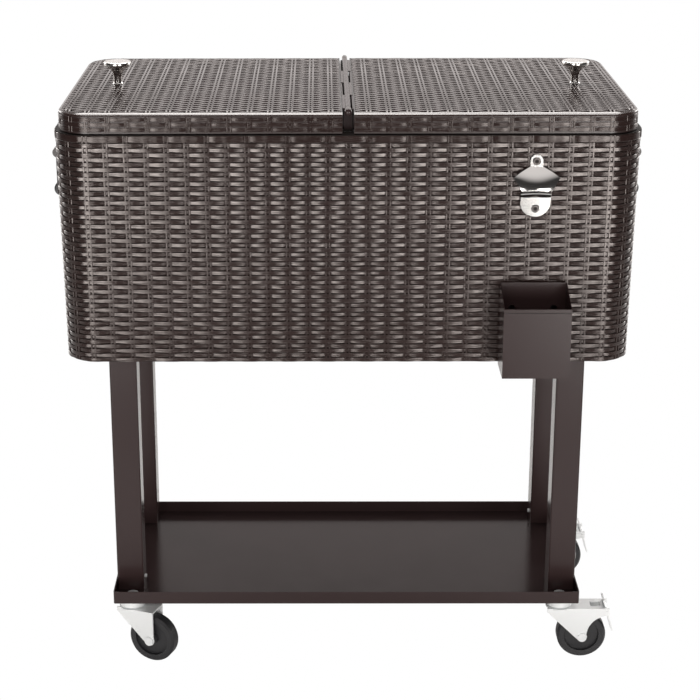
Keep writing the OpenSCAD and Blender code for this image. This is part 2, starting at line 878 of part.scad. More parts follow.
module foot_inserts() {
    side = leg_size - 2 * leg_t - 2 * seat;
    color(black)
    for (sx = [-1, 1], sy = [-1, 1])
        translate([sx * leg_x, sy * leg_y, 0])
        difference() {
            translate([0, 0, shelf_z]) round_box(side, side, leg_corner_r - leg_t, insert_h);
            if (sy < 0)
                translate([0, 0, shelf_z - 1]) cylinder(h = tray_bolt_in + 2, r = insert_bolt_r + fit);
            else
                translate([sx * (swivel_x - leg_x), tray_y + swivel_y - leg_y, shelf_z - 1])
                    cylinder(h = tray_bolt_in + 2, r = caster_bolt_r + fit);
            translate([-leg_size, 0, cross_z(sx, sy)]) along_x(2 * leg_size, cross_bolt_r + fit);
        }
}

// Turns a leg's cross bolt so that +X is the side its cap or its end shows on
module at_cross_bolt(sx, sy) {
    outward = domed(sx, sy) ? sx : -sx;
    translate([sx * leg_x, sy * leg_y, cross_z(sx, sy)]) mirror([outward < 0 ? 1 : 0, 0, 0]) children();
}

// Cross bolts that hold the inserts. The plain ones stick out on the inner side.
module foot_bolts() {
    color(zinc)
    for (sx = [-1, 1], sy = [-1, 1])
        at_cross_bolt(sx, sy) {
            reach = domed(sx, sy) ? 0 : cross_bolt_end;
            translate([-leg_size / 2 + leg_t, 0, 0]) along_x(leg_size - leg_t + reach, cross_bolt_r);
        }
}

// Domed caps that cover two of the cross bolts on the outer side
module bolt_caps() {
    ball = (cap_dome_r * cap_dome_r + cap_dome_h * cap_dome_h) / (2 * cap_dome_h);
    color(painted)
    for (sy = [-1, 1])
        at_cross_bolt(-sy, sy)
            translate([leg_size / 2, 0, 0]) rotate([0, 90, 0]) rotate_extrude()
                intersection() {
                    translate([0, cap_dome_h - ball]) circle(ball, $fn = 96);
                    square([cap_dome_r, cap_dome_h]);
                }
}

module at_swivels(rows = [-1, 1]) {
    for (sx = [-1, 1], sy = rows)
        translate([sx * swivel_x, tray_y + sy * swivel_y, 0]) children();
}

module tray() {
    color(painted)
    translate([0, 0, tray_z])
    difference() {
        translate([0, tray_y, 0]) round_box(tray_w, tray_d, 2 * tray_t, tray_h);
        translate([0, tray_y, tray_t]) round_box(tray_w - 2 * tray_t, tray_d - 2 * tray_t, tray_t, tray_h);
        at_swivels() translate([0, 0, -1]) cylinder(h = tray_t + 2, r = caster_bolt_r + fit);
        at_front_legs() translate([0, 0, -1]) cylinder(h = tray_t + 2, r = insert_bolt_r + fit);
    }
}

// Bolts from the tray into the front legs. The rear legs are held by their casters' bolts.
module tray_bolts() {
    color(steel)
    at_front_legs() {
        translate([0, 0, tray_z - tray_bolt_head_h])
            cylinder(h = tray_bolt_head_h, r = tray_bolt_head_r, $fn = 6);
        translate([0, 0, tray_z - eps]) cylinder(h = tray_t + tray_bolt_in, r = insert_bolt_r);
    }
}

// Casters

// Fixed upper half of each swivel: a pressed cup with the ball race under it
module caster_races() {
    color(zinc)
    at_swivels()
        difference() {
            union() {
                translate([0, 0, race_z]) cylinder(h = race_h, r = race_r);
                translate([0, 0, race_z - ball_h]) cylinder(h = ball_h + eps, r = ball_r);
            }
            translate([0, 0, race_z - 2 * ball_h]) cylinder(h = race_h + 3 * ball_h, r = caster_bolt_r + fit);
        }
}

// Bolt that each caster turns on. The front ones have a flat head on the tray floor, and the
// rear ones screw into the feet of the rear legs, which stand over them.
module caster_bolts() {
    low_z = fork_low_z - caster_nut_h - 1;
    color(zinc) {
        at_swivels([-1]) {
            translate([0, 0, shelf_z]) cylinder(h = screw_head_h, r = caster_bolt_head_r);
            translate([0, 0, low_z]) cylinder(h = shelf_z - low_z + eps, r = caster_bolt_r);
        }
        at_swivels([1])
            translate([0, 0, low_z]) cylinder(h = shelf_z + tray_bolt_in - low_z, r = caster_bolt_r);
    }
}

module caster_nuts() {
    color(zinc)
    at_swivels()
        translate([0, 0, fork_low_z - seat - caster_nut_h])
        difference() {
            cylinder(h = caster_nut_h, r = caster_nut_r, $fn = 6);
            translate([0, 0, -1]) cylinder(h = caster_nut_h + 2, r = caster_bolt_r + fit);
        }
}

// Places a caster's turning parts at their rest angle
module at_caster(sx, sy) {
    turn = (sx < 0 && sy < 0) ? -caster_turn : 0;
    translate([sx * swivel_x, tray_y + sy * swivel_y, 0]) rotate([0, 0, turn]) children();
}

// Outline of a fork's cheek in X and Z, from the swivel's side to the trailing side. The
// braked one carries on past the wheel as a narrow tail.
module cheek_outline(braked) {
    head = race_r;
    back = trail + fork_tip_r - 1;
    sweep_r = brake_tail - back;
    slope = atan2(fork_top_z - cheek_h - axle_z, head + trail - fork_tip_r);
    polygon([
        [-head, fork_top_z], [-head, fork_top_z - cheek_h],
        [trail - fork_tip_r * sin(slope), axle_z - fork_tip_r * cos(slope)],
        [trail, axle_z], [back, axle_z], [back, fork_top_z]
    ]);
    translate([trail, axle_z]) circle(fork_tip_r);
    if (braked) difference() {
        translate([trail, fork_top_z - brake_tail_h - sweep_r])
            square([brake_tail - trail, brake_tail_h + sweep_r]);
        translate([brake_tail, fork_top_z - brake_tail_h - sweep_r]) circle(sweep_r);
    }
}

// Fork: two cheeks and a bridge, with the axle bolt through it
module fork(sx, sy) {
    braked = sx > 0;
    bridge = braked ? bridge_end : trail + fork_tip_r - 1;
    at_caster(sx, sy) {
        color(zinc)
        difference() {
            union() {
                for (y = [-fork_half + fork_t, fork_half])
                    translate([0, y, 0]) rotate([90, 0, 0])
                        linear_extrude(height = fork_t) cheek_outline(braked);
                translate([0, -fork_half, fork_low_z]) cube([bridge, 2 * fork_half, fork_t]);
                translate([0, 0, fork_low_z]) cylinder(h = fork_t, r = race_r + 1);
            }
            translate([0, 0, fork_low_z - 1]) cylinder(h = fork_t + 2, r = caster_bolt_r + fit);
            translate([trail, -2 * fork_half, axle_z]) along_y(4 * fork_half, axle_r + fit);
            if (braked) {
                translate([bridge_end - brake_slot_in - brake_slot, -brake_slot / 2, fork_low_z - 1])
                    cube([brake_slot, brake_slot, fork_t + 2]);
                translate([pedal_x, -2 * fork_half, pedal_z]) along_y(4 * fork_half, pedal_pin_r + fit);
            }
        }
        color(steel)
        translate([trail, 0, axle_z]) {
            translate([0, -fork_half, 0]) along_y(2 * fork_half, axle_r);
            translate([0, -fork_half - axle_head_h, 0]) along_y(axle_head_h, axle_head_r);
            translate([0, fork_half, 0]) rotate([-90, 0, 0])
                cylinder(h = axle_nut_h, r = axle_head_r, $fn = 6);
        }
    }
}

// Wheel: a moulded tread round a hub with a dished web
module wheel(sx, sy) {
    r = wheel_d / 2;
    half = wheel_w / 2;
    lip = tread_round;
    at_caster(sx, sy)
    color(black)
    translate([trail, 0, axle_z]) rotate([90, 0, 0])
    rotate_extrude($fn = 96) polygon([
        [axle_r + fit, -half], [hub_r, -half], [hub_r, -web_t / 2],
        [r - tread_t, -web_t / 2], [r - tread_t, lip - 1 - half], [r - lip, lip / 3 - half],
        [r, tread_crown - half], [r, half - tread_crown],
        [r - lip, half - lip / 3], [r - tread_t, half - lip + 1], [r - tread_t, web_t / 2],
        [hub_r, web_t / 2], [hub_r, half], [axle_r + fit, half]
    ]);
}

// Brake pedal: a leaning plate on a pin, whose lower end bears on the tread when it is pressed
module brake(sx, sy) {
    half = fork_half - fork_t - 2 * seat;
    at_caster(sx, sy)
    color(zinc)
    translate([pedal_x, 0, pedal_z]) {
        rotate([0, -pedal_lean, 0]) difference() {
            translate([-pedal_t / 2, -pedal_w / 2, -pedal_down])
                cube([pedal_t, pedal_w, pedal_down + pedal_up]);
            translate([-pedal_t, -pedal_w, -pedal_gap_h / 2]) cube([2 * pedal_t, 2 * pedal_w, pedal_gap_h]);
        }
        translate([0, -half, 0]) along_y(2 * half, pedal_tube_r);
        translate([0, -fork_half - 1, 0]) along_y(2 * fork_half + 2, pedal_pin_r);
    }
}

// Front fittings

// Hood of the opener: a part of a tube, cut to its front outline
module opener_hood() {
    far = wall_y + 2 * hood_out;
    intersection() {
        translate([opener_x, 0, 0]) rotate([90, 0, 0])
            linear_extrude(height = far)
                difference() {
                    polygon([
                        [-tab_r, hood_top_z], [tab_r, hood_top_z],
                        [hood_shoulder_x, hood_shoulder_z], [hood_w / 2, hood_tip_z],
                        [opener_w / 2, hood_foot_z], [-opener_w / 2, hood_foot_z],
                        [-hood_w / 2, hood_tip_z], [-hood_shoulder_x, hood_shoulder_z]
                    ]);
                    translate([0, hood_foot_z + hood_arch_h - hood_arch_r]) circle(hood_arch_r, $fn = 96);
                }
        translate([opener_x - hood_w, 0, 0]) rotate([90, 0, 90])
            linear_extrude(height = 2 * hood_w)
                difference() {
                    intersection() {
                        translate([skin_y + hood_h - hood_out, hood_foot_z]) circle(hood_h, $fn = 96);
                        translate([skin_y - hood_out, hood_foot_z]) square([hood_out, hood_h]);
                    }
                    translate([skin_y + hood_h - hood_out, hood_foot_z]) circle(hood_h - hood_t, $fn = 96);
                }
    }
}

module bottle_opener() {
    foot_z = opener_z - plate_foot + opener_w / 2;
    color(chrome)
    difference() {
        union() {
            translate([opener_x, skin_y, 0]) rotate([90, 0, 0])
                linear_extrude(height = opener_t) {
                    translate([0, opener_top_z]) circle(tab_r);
                    translate([-tab_r, hood_top_z - tab_r])
                        square([2 * tab_r, opener_top_z - hood_top_z + tab_r]);
                    translate([0, foot_z]) circle(opener_w / 2, $fn = 96);
                    translate([-opener_w / 2, foot_z]) square([opener_w, tooth_z + tooth_h - foot_z]);
                    translate([hood_t - opener_w / 2, tooth_z])
                        square([opener_w - 2 * hood_t, hood_shoulder_z - tooth_z]);
                }
            opener_hood();
            translate([opener_x - opener_w / 2, 0, 0]) rotate([90, 0, 90])
                linear_extrude(height = opener_w)
                    polygon([
                        [skin_y, tooth_z - tooth_slope], [skin_y - opener_t, tooth_z - tooth_slope],
                        [skin_y - tooth_out, tooth_z], [skin_y - tooth_out, tooth_z + tooth_h],
                        [skin_y, tooth_z + tooth_h]
                    ]);
        }
        for (z = [opener_z, opener_top_z]) translate([opener_x, skin_y, z]) {
            translate([0, -3 * opener_t, 0]) along_y(6 * opener_t, screw_r + screw_room);
            translate([0, -opener_t - 1, 0]) along_y(1 + opener_sink, screw_head_r + 3 * screw_room);
        }
    }
}

// Sheet box that hangs on two screws by keyholes in its back plate
module cap_catcher() {
    t = catcher_t;
    x0 = catcher_x - catcher_w / 2;
    top = catcher_z + catcher_h;
    back_top = catcher_z + catcher_back_h;
    color(painted)
    difference() {
        translate([x0, 0, 0]) rotate([90, 0, 90]) linear_extrude(height = catcher_w)
            polygon([
                [catcher_back_y, catcher_z], [catcher_front_y, catcher_z], [catcher_front_y, top],
                [catcher_back_y - t, back_top], [catcher_back_y, back_top]
            ]);
        translate([x0 + t, catcher_front_y + t, catcher_z + t])
            cube([catcher_w - 2 * t, catcher_d - 2 * t, 2 * catcher_back_h]);
        for (sx = [-1, 1]) translate([catcher_x + sx * catcher_screw_x, 0, catcher_screw_z]) {
            translate([0, catcher_back_y - 2 * t, 0]) along_y(4 * t, screw_r + screw_room);
            translate([0, catcher_back_y - 2 * t, -catcher_lift]) along_y(4 * t, keyhole_r);
            translate([-screw_r - screw_room, catcher_back_y - 2 * t, -catcher_lift])
                cube([2 * (screw_r + screw_room), 4 * t, catcher_lift]);
        }
    }
    color(painted)
    translate([x0, catcher_back_y - t - catcher_hem_out, back_top - catcher_hem_h])
        cube([catcher_w, catcher_hem_out + eps, catcher_hem_h]);
    color(painted)
    translate([x0, catcher_front_y - catcher_hem_out, top - catcher_hem_h])
        cube([catcher_w, catcher_hem_out + eps, catcher_hem_h]);
}

// Screws of the opener, and the two that the catcher hangs on
module front_fixings() {
    color(chrome)
    for (s = front_screws) {
        seat_y = s[0] == opener_x ? skin_y - opener_t + opener_sink : catcher_back_y - catcher_t - seat;
        wall_screw(s[0], s[1], seat_y, screw_l - seat_y - wall_y);
    }
}

// Handles

// Brackets: a plate on the wall and a lug that holds the pivot pin, front and back of each side
module handle_brackets() {
    color(painted)
    both_sides()
        for (sy = [0, 1]) mirror([0, sy, 0])
        difference() {
            union() {
                translate([plate_x, lug_y + bracket_t / 2 - plate_w / 2, pivot_z - plate_h / 2])
                    cube([plate_t, plate_w, plate_h]);
                translate([plate_x, lug_y, pivot_z - eye_r]) cube([pivot_x - plate_x, bracket_t, 2 * eye_r]);
                translate([pivot_x, lug_y, pivot_z]) along_y(bracket_t, eye_r);
            }
            translate([pivot_x, lug_y - 1, pivot_z]) along_y(bracket_t + 2, pin_r + fit);
            for (sz = [-1, 1])
                translate([plate_x - 1, lug_y + bracket_t / 2, pivot_z + sz * (plate_h / 2 - plate_screw_in)])
                    along_x(plate_t + 2, screw_r + screw_room);
        }
}

module bracket_screws() {
    color(steel)
    both_sides()
        for (s = bracket_holes) translate([0, s[0], s[1]]) {
            translate([plate_x + plate_t, 0, 0]) along_x(screw_head_h - 0.5, screw_head_r - 0.5);
            translate([wall_x - screw_l, 0, 0]) along_x(plate_x + plate_t - wall_x + screw_l + eps, screw_r);
        }
}

module handle_pins() {
    color(black)
    both_sides()
        for (sy = [0, 1]) mirror([0, sy, 0]) translate([pivot_x, 0, pivot_z]) {
            translate([0, lug_y - pin_head_h + 1, 0])
                along_y(pin_head_h - 1 + bracket_t + eye_t + 3 * seat, pin_r);
            translate([0, eye_y + eye_t + 2 * seat, 0]) along_y(pin_head_h, pin_head_r);
            translate([0, lug_y - pin_head_h, 0]) along_y(pin_head_h - seat, pin_r + 1.5);
        }
}

// Wire bail: an eye and an arm at each end, and a cross wire that the grip sits on
module bail() {
    color(steel)
    translate([-pivot_x, 0, 0]) {
        for (sy = [0, 1]) mirror([0, sy, 0])
        difference() {
            union() {
                translate([0, eye_y + seat / 2, pivot_z]) along_y(eye_t, eye_r);
                translate([0, eye_y + seat / 2 + eye_t / 2, grip_z])
                    cylinder(h = handle_drop - pin_r - 1, r = arm_r);
                translate([0, eye_y + seat / 2 + eye_t / 2, grip_z]) sphere(arm_r + 0.4);
            }
            translate([0, eye_y - 1, pivot_z]) along_y(eye_t + 2, pin_r + fit);
        }
        translate([0, -eye_y - eye_t / 2, grip_z]) along_y(2 * eye_y + eye_t, arm_r);
    }
}

module grip() {
    color(black)
    translate([-pivot_x, 0, grip_z])
    difference() {
        rotate([-90, 0, 0]) rotate_extrude() polygon([
            [0, -grip_half], [grip_r - grip_round, -grip_half], [grip_r, grip_round - grip_half],
            [grip_r, grip_half - grip_round], [grip_r - grip_round, grip_half], [0, grip_half]
        ]);
        translate([0, -2 * grip_half, 0]) along_y(4 * grip_half, arm_r + fit);
    }
}

placed() tub_shell();
placed() tub_rim();
placed() tub_liner();
placed() tub_foam();
placed() base_panel();
placed() center_bar();
placed() hinge_posts();
placed() post_screws();
placed() hinge_rod();
placed() drain_spout();
placed() drain_gasket();
placed() drain_nut();
placed() drain_cap();
placed() lid_shell();  // lid_left_shell
placed() lid_foam();  // lid_left_foam
placed() lid_panel();  // lid_left_panel
placed() lid_seal();  // lid_left_seal
placed() hinge_leaf(0);  // hinge_leaf_left
placed() knob();  // knob_left
placed() knob_screw();  // knob_screw_left
placed() mirror([1, 0, 0]) lid_shell();  // lid_right_shell
placed() mirror([1, 0, 0]) lid_foam();  // lid_right_foam
placed() mirror([1, 0, 0]) lid_panel();  // lid_right_panel
placed() mirror([1, 0, 0]) lid_seal();  // lid_right_seal
placed() mirror([1, 0, 0]) hinge_leaf(1);  // hinge_leaf_right
placed() mirror([1, 0, 0]) knob();  // knob_right
placed() mirror([1, 0, 0]) knob_screw();  // knob_screw_right
placed() leg(-1, -1);  // leg_front_left
placed() leg(1, -1);  // leg_front_right
placed() leg(-1, 1);  // leg_back_left
placed() leg(1, 1);  // leg_back_right
placed() leg_bolts();
placed() foot_inserts();
placed() foot_bolts();
placed() bolt_caps();
placed() tray();
placed() tray_bolts();
placed() caster_races();
placed() caster_bolts();
placed() caster_nuts();
placed() fork(-1, -1);  // fork_front_left
placed() fork(1, -1);  // fork_front_right
placed() fork(-1, 1);  // fork_back_left
placed() fork(1, 1);  // fork_back_right
placed() wheel(-1, -1);  // wheel_front_left
placed() wheel(1, -1);  // wheel_front_right
placed() wheel(-1, 1);  // wheel_back_left
placed() wheel(1, 1);  // wheel_back_right
placed() brake(1, -1);  // brake_front_right
placed() brake(1, 1);  // brake_back_right
placed() bottle_opener();
placed() cap_catcher();
placed() front_fixings();
placed() handle_brackets();
placed() bracket_screws();
placed() handle_pins();
placed() bail();  // handle_left
placed() grip();  // grip_left
placed() mirror([1, 0, 0]) bail();  // handle_right
placed() mirror([1, 0, 0]) grip();  // grip_right
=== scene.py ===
import bpy
from math import cos, pi, radians, sin, sqrt, tau
import numpy as np
from mathutils import Matrix, Vector


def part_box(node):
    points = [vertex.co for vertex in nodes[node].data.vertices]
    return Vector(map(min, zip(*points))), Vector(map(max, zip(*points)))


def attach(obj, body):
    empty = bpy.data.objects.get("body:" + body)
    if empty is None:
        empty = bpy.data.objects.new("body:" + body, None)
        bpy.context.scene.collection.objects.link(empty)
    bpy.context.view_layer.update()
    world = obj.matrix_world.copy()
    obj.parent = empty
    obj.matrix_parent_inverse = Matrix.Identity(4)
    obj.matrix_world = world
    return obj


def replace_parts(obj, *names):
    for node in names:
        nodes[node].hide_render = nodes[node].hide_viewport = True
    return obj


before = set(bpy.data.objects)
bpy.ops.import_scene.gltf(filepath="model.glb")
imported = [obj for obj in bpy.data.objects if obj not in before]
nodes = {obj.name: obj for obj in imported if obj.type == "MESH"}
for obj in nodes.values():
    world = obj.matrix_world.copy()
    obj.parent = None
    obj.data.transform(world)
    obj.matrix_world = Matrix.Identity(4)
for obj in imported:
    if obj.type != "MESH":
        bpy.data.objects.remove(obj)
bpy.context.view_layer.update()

# Camera and stage. The photograph was taken from in front and a little above, with a long
# lens whose middle isn't the picture's middle. The stage is a white floor under a white sky,
# with plain soft lamps round it.

MM = 0.001
PICTURE = 700
SENSOR = 36
FOCAL_PIXELS = 1779.66
CENTRE_PIXEL = (314.33, 300.0)
EYE = Vector((-0.0390, -2.6588, 1.4161))
PITCH, YAW, ROLL = radians(17.993), radians(-0.225), radians(-0.133)

ahead = Vector((sin(YAW) * cos(PITCH), cos(YAW) * cos(PITCH), -sin(PITCH)))
level = Vector((cos(YAW), -sin(YAW), 0))
upright = level.cross(ahead)
side = cos(ROLL) * level + sin(ROLL) * upright
top = cos(ROLL) * upright - sin(ROLL) * level
lens = bpy.data.cameras.new("camera")
lens.sensor_width = SENSOR
lens.lens = FOCAL_PIXELS * SENSOR / PICTURE
lens.shift_x = 0.5 - CENTRE_PIXEL[0] / PICTURE
lens.shift_y = CENTRE_PIXEL[1] / PICTURE - 0.5
camera = bpy.data.objects.new("camera", lens)
bpy.context.scene.collection.objects.link(camera)
camera.matrix_world = Matrix.Translation(EYE) @ Matrix((side, top, -ahead)).transposed().to_4x4()
bpy.context.scene.camera = camera
bpy.context.scene.view_settings.view_transform = "Standard"

LAMP_TINT = (1.0, 0.965, 0.935)
SOFTBOX = (1.28, 1.85)
BACK_BOX = (1.6, 1.6)
CART_MIDDLE = (0, 0, 0.5)
LIDS_MIDDLE = (0, 0, 0.85)


def lamp(name, place, target, size, watts):
    """A rectangular soft lamp, aimed at a point."""
    light = bpy.data.lights.new(name, "AREA")
    light.shape = "RECTANGLE"
    light.size, light.size_y = size
    light.energy = watts
    light.color = LAMP_TINT
    made = bpy.data.objects.new(name, light)
    bpy.context.scene.collection.objects.link(made)
    made.location = place
    made.visible_camera = False
    made.rotation_euler = (Vector(target) - Vector(place)).to_track_quat("-Z", "Y").to_euler()
    return made


# The front wall mirrors the two softboxes. Gloss doesn't show the wide fill lamp.
lamp("softbox_left", (-1.54, -4.1, 0.08), (-0.1, -0.2, 0.1), SOFTBOX, 74)
lamp("softbox_right", (1.54, -4.1, 0.08), (0.1, -0.2, 0.1), SOFTBOX, 78)
lamp("fill", (0, -3.7, 2.0), (0, -0.2, 0.5), (3.4, 0.9), 62).visible_glossy = False
lamp("back_left", (-2.7, 2.5, 1.5), CART_MIDDLE, BACK_BOX, 62)
lamp("back_right", (2.7, 2.5, 1.5), CART_MIDDLE, BACK_BOX, 62)
lamp("overhead", (0, 0.5, 2.6), LIDS_MIDDLE, (2.2, 0.48), 40)
lamp("back_strip", (0, 1.7, 2.0), LIDS_MIDDLE, (2.6, 0.3), 10)


class Socket:
    """One output of a shader node, so that shader maths reads as ordinary sums."""

    def __init__(self, owner, link):
        self.owner = owner
        self.link = link

    def maths(self, operation, *values):
        return self.owner.node("Math", {"operation": operation}, *values)

    def at_least(self, other):
        return self.maths("MAXIMUM", self, other)

    def __add__(self, other):
        return self.maths("ADD", self, other)

    def __sub__(self, other):
        return self.maths("SUBTRACT", self, other)

    def __rsub__(self, other):
        return self.maths("SUBTRACT", other, self)

    def __mul__(self, other):
        return self.maths("MULTIPLY", self, other)

    def __gt__(self, other):
        return self.maths("GREATER_THAN", self, other)

    __radd__ = __add__
    __rmul__ = __mul__


class Nodes:
    """The node tree of the sky, the floor's paper or a finish."""

    def __init__(self, tree):
        self.tree = tree

    def fill(self, socket, value):
        """Links a value to an input, or sets it there. A colour has three numbers."""
        if isinstance(value, Socket):
            self.tree.links.new(value.link, socket)
        elif hasattr(socket.default_value, "__len__") and len(socket.default_value) == 4:
            socket.default_value = (*value, 1)
        else:
            socket.default_value = value

    def node(self, kind, settings, *values, output=0, **named):
        """A node of any kind: its settings, then its inputs in order or by name."""
        made = self.tree.nodes.new("ShaderNode" + kind)
        for key, value in settings.items():
            setattr(made, key, value)
        for socket, value in zip([s for s in made.inputs if s.enabled], values):
            self.fill(socket, value)
        for name, value in named.items():
            self.fill(made.inputs[name.replace("_", " ")], value)
        return Socket(self, made.outputs[output])

    def mix(self, amount, first, second):
        """Blends two colours."""
        made = self.tree.nodes.new("ShaderNodeMix")
        made.data_type = "RGBA"
        for index, value in ((0, amount), (6, first), (7, second)):
            self.fill(made.inputs[index], value)
        return Socket(self, made.outputs[2])

    def ray(self, kind):
        """1 for a ray of this kind, and 0 for any other."""
        return self.node("LightPath", {}, output=f"Is {kind} Ray")

    def fade(self, value, start, stop):
        """Goes smoothly from 0 at start to 1 at stop."""
        smooth = {"interpolation_type": "SMOOTHSTEP"}
        return self.node("MapRange", smooth, value, start, stop, 0, 1)


# White to the camera everywhere. Gloss meets a white backdrop behind the object, which fades
# towards the ceiling, a pale floor, and a dim room in front, where the camera stands, under a
# pale ceiling.
SKY_FILL = 0.12
BACKDROP = 1.0
CEILING = 0.4
ROOM_DARK = 0.04
ROOM_FLOOR = 0.25
ROOM_CEILING = 0.85
MIRROR_TINT = (1.0, 0.945, 0.925)
WHITE = (1, 1, 1)

world = bpy.data.worlds.new("sky")
bpy.context.scene.world = world
world.use_nodes = True
sky = Nodes(world.node_tree)
towards = sky.node("TexCoord", {}, output="Generated")
back = sky.node("SeparateXYZ", {}, towards, output="Y")
up = sky.node("SeparateXYZ", {}, towards, output="Z")
above = BACKDROP - sky.fade(up, start=0.25, stop=0.5) * (BACKDROP - CEILING)
backdrop = (sky.fade(back, start=0.05, stop=0.6) * above).at_least(ROOM_DARK)
floor_glow = sky.fade(up, start=-0.12, stop=-0.3) * ROOM_FLOOR
room = floor_glow.at_least(sky.fade(up, start=0.55, stop=0.9) * ROOM_CEILING)
mirrored = sky.ray("Glossy") * backdrop.at_least(room)
seen = sky.ray("Camera").at_least(sky.ray("Transmission"))
background = world.node_tree.nodes["Background"].inputs
sky.fill(background["Strength"], mirrored.at_least(seen).at_least(sky.ray("Diffuse") * SKY_FILL))
sky.fill(background["Color"], sky.mix(sky.ray("Glossy"), WHITE, MIRROR_TINT))

# The floor is white paper. Like the sky it is plain white to the camera, and it sends the
# lamps' light up under the cart.
FLOOR_SIZE = (5.0, 4.2)
FLOOR_MIDDLE_Y = 1.2
FLOOR_UNDER = 0.5 * MM
PAPER_GREY = (0.9, 0.9, 0.9)

bpy.ops.mesh.primitive_plane_add(size=1, location=(0, FLOOR_MIDDLE_Y, -FLOOR_UNDER))
floor = bpy.context.object
floor.name = "floor"
floor.scale = (*FLOOR_SIZE, 1)
paper = bpy.data.materials.new("white_paper")
paper.use_nodes = True
sheet = Nodes(paper.node_tree)
matt = sheet.node("BsdfDiffuse", {}, PAPER_GREY)
bright = sheet.node("Emission", {}, WHITE)
sheet.fill(paper.node_tree.nodes["Material Output"].inputs["Surface"],
           sheet.node("MixShader", {}, sheet.ray("Camera"), matt, bright))
floor.data.materials.append(paper)

# Tub. A white liner stands inside the outer shell, both moulded in plastic, with foam poured
# between them. A bar across the top, which the lids close on, keeps the long walls apart.


class Finish(Nodes):
    """A material. Its shader's plain values are set here, and nodes add whatever varies."""

    def __init__(self, name, **values):
        self.material = bpy.data.materials.new(name)
        self.material.use_nodes = True
        super().__init__(self.material.node_tree)
        self.tree.nodes.clear()
        self.shader = self.tree.nodes.new("ShaderNodeBsdfPrincipled")
        output = self.tree.nodes.new("ShaderNodeOutputMaterial")
        self.tree.links.new(self.shader.outputs[0], output.inputs["Surface"])
        self.put(**values)

    def put(self, **values):
        """Sets or links inputs of the shader by name."""
        for name, value in values.items():
            self.fill(self.shader.inputs[name.replace("_", " ")], value)

    def place(self):
        """Where a point is on the object, in metres."""
        return self.node("TexCoord", {}, output="Object")

    def streaks(self, x, y, z, detail=2.0):
        """Noise drawn out along an axis: each number is how fast it changes that way, per mm."""
        scale = (x / MM, y / MM, z / MM)
        stretched = self.node("VectorMath", {"operation": "MULTIPLY"}, self.place(), scale)
        return self.node("TexNoise", {}, Vector=stretched, Scale=1.0, Detail=detail)

    def specks(self, fine, detail=2.0):
        """Noise that changes equally fast every way."""
        return self.streaks(fine, fine, fine, detail)

    def bump(self, height, distance, strength):
        """Raises the surface by a height field, distance in metres."""
        made = self.node("Bump", {}, Strength=strength, Distance=distance, Height=height)
        self.put(Normal=made)

    def rough(self, noise, least, spread):
        """Roughness that follows a noise, upwards from its least value."""
        self.put(Roughness=noise * spread + least)

    def cover(self, *names):
        """Gives the finish to CAD nodes, or to objects made here."""
        for name in names:
            thing = nodes[name] if isinstance(name, str) else name
            if thing.material_slots:
                for slot in thing.material_slots:
                    slot.material = self.material
            else:
                thing.data.materials.append(self.material)


liner = Finish("white_liner", Base_Color=(0.78, 0.80, 0.81), Roughness=0.25)
liner.bump(liner.specks(0.5), distance=0.05 * MM, strength=0.3)
liner.cover("tub_liner")

foam = Finish("insulation", Base_Color=(0.78, 0.72, 0.55), Roughness=0.9)
foam.bump(foam.specks(1.0, detail=4.0), distance=0.4 * MM, strength=0.6)
foam.cover("tub_foam")

# The shell, the rim and the bar are the weave's brown made darker and less shiny: painted shade
# that stands for the shadow in the weave's gaps and between the lids.
SHADE_BROWN = (0.010, 0.007, 0.006)
shade_backing = Finish("wicker_shade_backing", Base_Color=SHADE_BROWN, Roughness=0.6,
                 Specular_IOR_Level=0.2)
shade_backing.cover("tub_shell", "center_bar")

# Woven surface of the tub. The real one is one plastic moulding in the look of resin wicker:
# flat strands about 6 mm tall run round the tub and pass in front of and behind upright
# pairs of thin stakes. The strands and stakes here stand on the CAD shell.

TUB_FLAT_X = 0.3705
TUB_FLAT_Y = 0.1705
TUB_R = 0.050
TUB_DRAFT = 4.5 * MM
ROWS = 47
ROUNDING = 1e-12

tub_low, tub_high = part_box("tub_shell")
MIDDLE_Y = (tub_low[1] + tub_high[1]) / 2
ROUND = 4 * TUB_FLAT_X + 4 * TUB_FLAT_Y + tau * TUB_R
ROW_HIGH = (tub_high[2] - tub_low[2]) / ROWS


def outline(u, flat_x, flat_y, r):
    """Points and outward directions round a box with round corners. u runs in metres from the
    middle of the front towards +X, round the outline of the tub's wall at its top."""
    u = np.mod(u, ROUND)
    turn = TUB_R * pi / 2
    ends = np.cumsum([0, TUB_FLAT_X, turn, 2 * TUB_FLAT_Y, turn, 2 * TUB_FLAT_X, turn,
                      2 * TUB_FLAT_Y, turn, TUB_FLAT_X])
    corner = [(1, -1, -pi / 2), (1, 1, 0), (-1, 1, pi / 2), (-1, -1, pi)]
    x, y = np.zeros_like(u), np.zeros_like(u)
    nx, ny = np.zeros_like(u), np.zeros_like(u)
    for k in range(9):
        here = (u >= ends[k] - ROUNDING) & (u <= ends[k + 1] + ROUNDING)
        t = (u[here] - ends[k]) / (ends[k + 1] - ends[k])
        if k % 2:
            sx, sy, start = corner[(k - 1) // 2]
            angle = start + t * pi / 2
            nx[here], ny[here] = np.cos(angle), np.sin(angle)
            x[here] = sx * flat_x + r * nx[here]
            y[here] = sy * flat_y + r * ny[here]
            continue
        face = (k // 2) % 4
        across = t if k == 0 else (2 * t - 1 if k < 8 else t - 1)
        dx, dy = [(0, -1), (1, 0), (0, 1), (-1, 0)][face]
        nx[here], ny[here] = dx, dy
        x[here] = dx * (flat_x + r) - dy * flat_x * across
        y[here] = dy * (flat_y + r) + dx * flat_y * across
    return x, y, nx, ny


